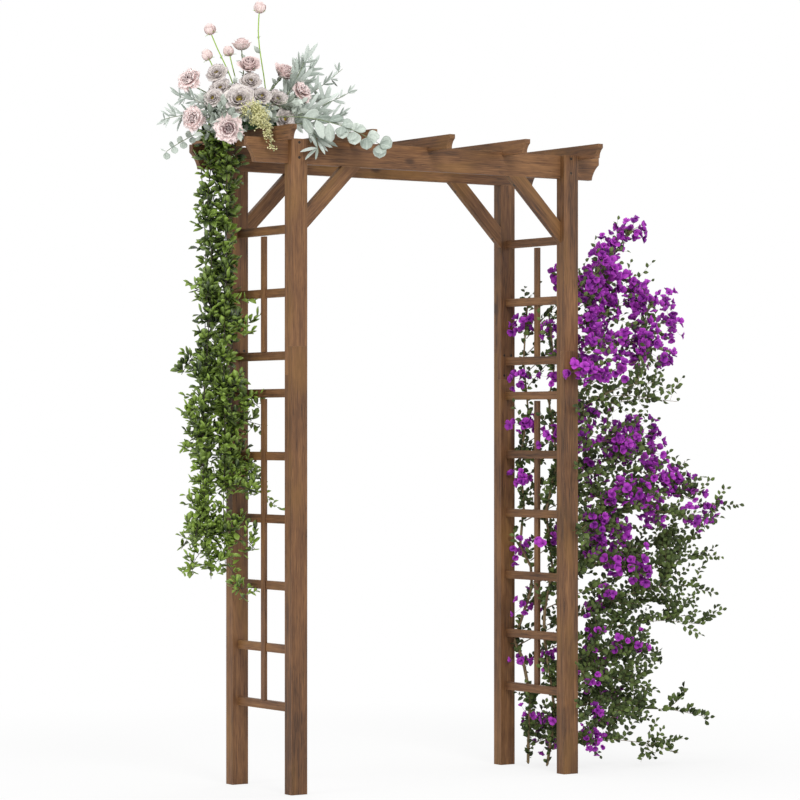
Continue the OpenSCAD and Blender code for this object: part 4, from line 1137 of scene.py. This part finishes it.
def growLeaves(setup, stems, blooms, green):
    bm = plantMesh()
    twigs = growFilling(bm, setup, blooms)
    # a few leaves sit on the stems under the roses and the buds
    stalk = bladeMesh(leafShape(0.030, 0.015, 0.3, 0.2, 0.45, along=3), 0.0003)
    for kind, count, first, step in (("rose", 5, 0.028, 0.019), ("bud", 2, 0.085, 0.05)):
        for anchor in blooms[kind]:
            for number in range(count):
                down = anchor["along"] * (first + step * number)
                spot = stems.find_nearest(anchor["foot"] - down)[0]
                way = spreading(anchor["along"], 2.4 * number, 0.9)
                place = laidOut(spot, way, setup["face"] + anyWay(0.3), uniform(0.8, 1.1))
                addCopy(bm, stalk, place, uniform(0.3, 0.8))
    addPiece("fillLeaves", bm, leafMaterial("fillLeaf", setup["fillColours"], 0.6, 0.3))

    bm = plantMesh()
    long = [bladeMesh(leafShape(1.0, 0.175, 0.2, droop, 0.42, 2, 6), 0.004) for droop in (0.05, 0.16, -0.06)]
    for anchor in anchorsOf("long_leaves", stems, True):
        foot = anchor["foot"]
        length = (anchor["tip"] - foot).length
        length *= setup["longGrow"] if -0.7 < foot.x < -0.34 else 0.85
        for copy in range(4):
            way = anchor["along"]
            if copy == 3:
                way = (way + Vector((0.3, -0.1, -0.5)) + anyWay(0.3)).normalized()
            if copy == 1:
                way = spreading(way, uniform(0, fullTurn), uniform(0.35, 0.7))
            if copy == 2:
                way = (way + Vector((0.2, 0, 1.1))).normalized()
            face = setup["face"] + anyWay(0.45)
            place = laidOut(foot, way, face, length * uniform(0.8, 1.2) * (1 - 0.08 * copy))
            if not hidesBloom(place @ Vector((0, 0.5, 0)), blooms):
                addCopy(bm, choice(long), place, uniform(0.25, 1.0))
    sage = leafMaterial("sageLeaf", setup["leafColours"], 0.6, 0.3)
    addPiece("longLeaves", bm, sage, "long_leaves")

    bm = plantMesh()
    disc = [bladeMesh(leafShape(1.0, 0.98, 0.10, droop, 0.5, 4, 6), 0.012) for droop in (0.06, -0.08)]
    oval = bladeMesh(leafShape(1.0, 0.52, 0.16, 0.12, 0.45, 4, 6), 0.008)
    for anchor in anchorsOf("round_eucalyptus", stems, True):
        foot, along = anchor["foot"], anchor["along"]
        far = min(1.0, max(0.0, (foot.x + 0.62) / 0.40))
        if 0.02 < far < 0.42:       # where the stem starts, its leaves are long ovals that hang
            way = (along + Vector((0.5, 0, -0.6)) + anyWay(0.2)).normalized()
            place = laidOut(foot, way, setup["face"] + anyWay(0.35), uniform(0.050, 0.066))
            addCopy(bm, oval, place, uniform(0.2, 1.0))
            continue
        size = (0.024 if far < 0.2 else 0.034) + 0.016 * far
        for copy in range(2 if far > 0.25 else 1):
            way = spreading(along, uniform(0, wideTurn), 0.8) if copy else along
            way = (way - up * 0.5).normalized()
            face = setup["face"] + anyWay(0.28)
            place = laidOut(foot, way, face, size * uniform(0.92, 1.12) * (1 - 0.12 * copy))
            addCopy(bm, choice(disc), place, uniform(0.4, 1.0))
    silver = leafMaterial("silverLeaf", setup["roundColours"], 0.55, 0.3)
    addPiece("roundLeaves", bm, silver, "round_eucalyptus")
    addTwigs(green, twigs, setup["twigRadius"])


def growSeeds(setup):
    bm = plantMesh()
    stalks = []
    bead = seedMesh(1.0, 1)
    low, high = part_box("seed_spray")
    spray = low[2] + 0.52 * (high[2] - low[2])      # above this the spray is broad, and below it a tail
    for group in solidIslands("seed_spray"):
        middle = sum(group, Vector()) / len(group)
        wide, count = setup["broadSeeds" if middle.z > spray else "tailSeeds"]
        for number in range(count):
            away = anyWay()
            away.normalize()
            spot = middle + away * (uniform(0.006, wide) if number else 0)
            if number % 2:
                stalks.append((middle, spot))
            place = Matrix.Translation(spot) @ Matrix.Scale(uniform(0.0016, 0.0026), 4)
            addCopy(bm, bead, place, random())
    addTwigs(bm, stalks, setup["stalkRadius"])
    addPiece("seedSpray", bm, seedMaterial("limeSeed", *setup["seedColours"]), "seed_spray")


def stemMaterial(colours):
    material, place = newMaterial("greenStem")
    fleck = place.noise(200, 2.0)
    colour = toneOf(place).part(0.3, 0.9).mix(*colours[:2])
    colour = (fleck.part(0.45, 0.8) * 0.35).mix(colour, colours[2])
    return finishMaterial(material, colour, fleck * 0.2 + 0.45, 0.35)


def growBouquet(setup):
    stems = surfaceTree("bouquet_stems")
    green = plantMesh()
    blooms = growFlowers(setup, stems, green)
    growLeaves(setup, stems, blooms, green)
    growSeeds(setup)
    tone = green.verts.layers.float["tone"]
    before = set(green.verts)
    addStems(green, "bouquet_stems", lambda point: setup["stemSwell"])
    feet = [anchor["foot"] for anchor in blooms["bud"]]
    for group in islandsOf(green):        # the buds' own stems are a brighter green
        if group[0] not in before:
            isBud = any((vert.co - foot).length < setup["budReach"] for vert in group for foot in feet)
            for vert in group:
                vert[tone] = 0.9 if isBud else 0.3
    addPiece("bouquetStems", green, stemMaterial(setup["stemColours"]), "bouquet_stems")


growBouquet(foliageSetup)
print("bouquet grown")
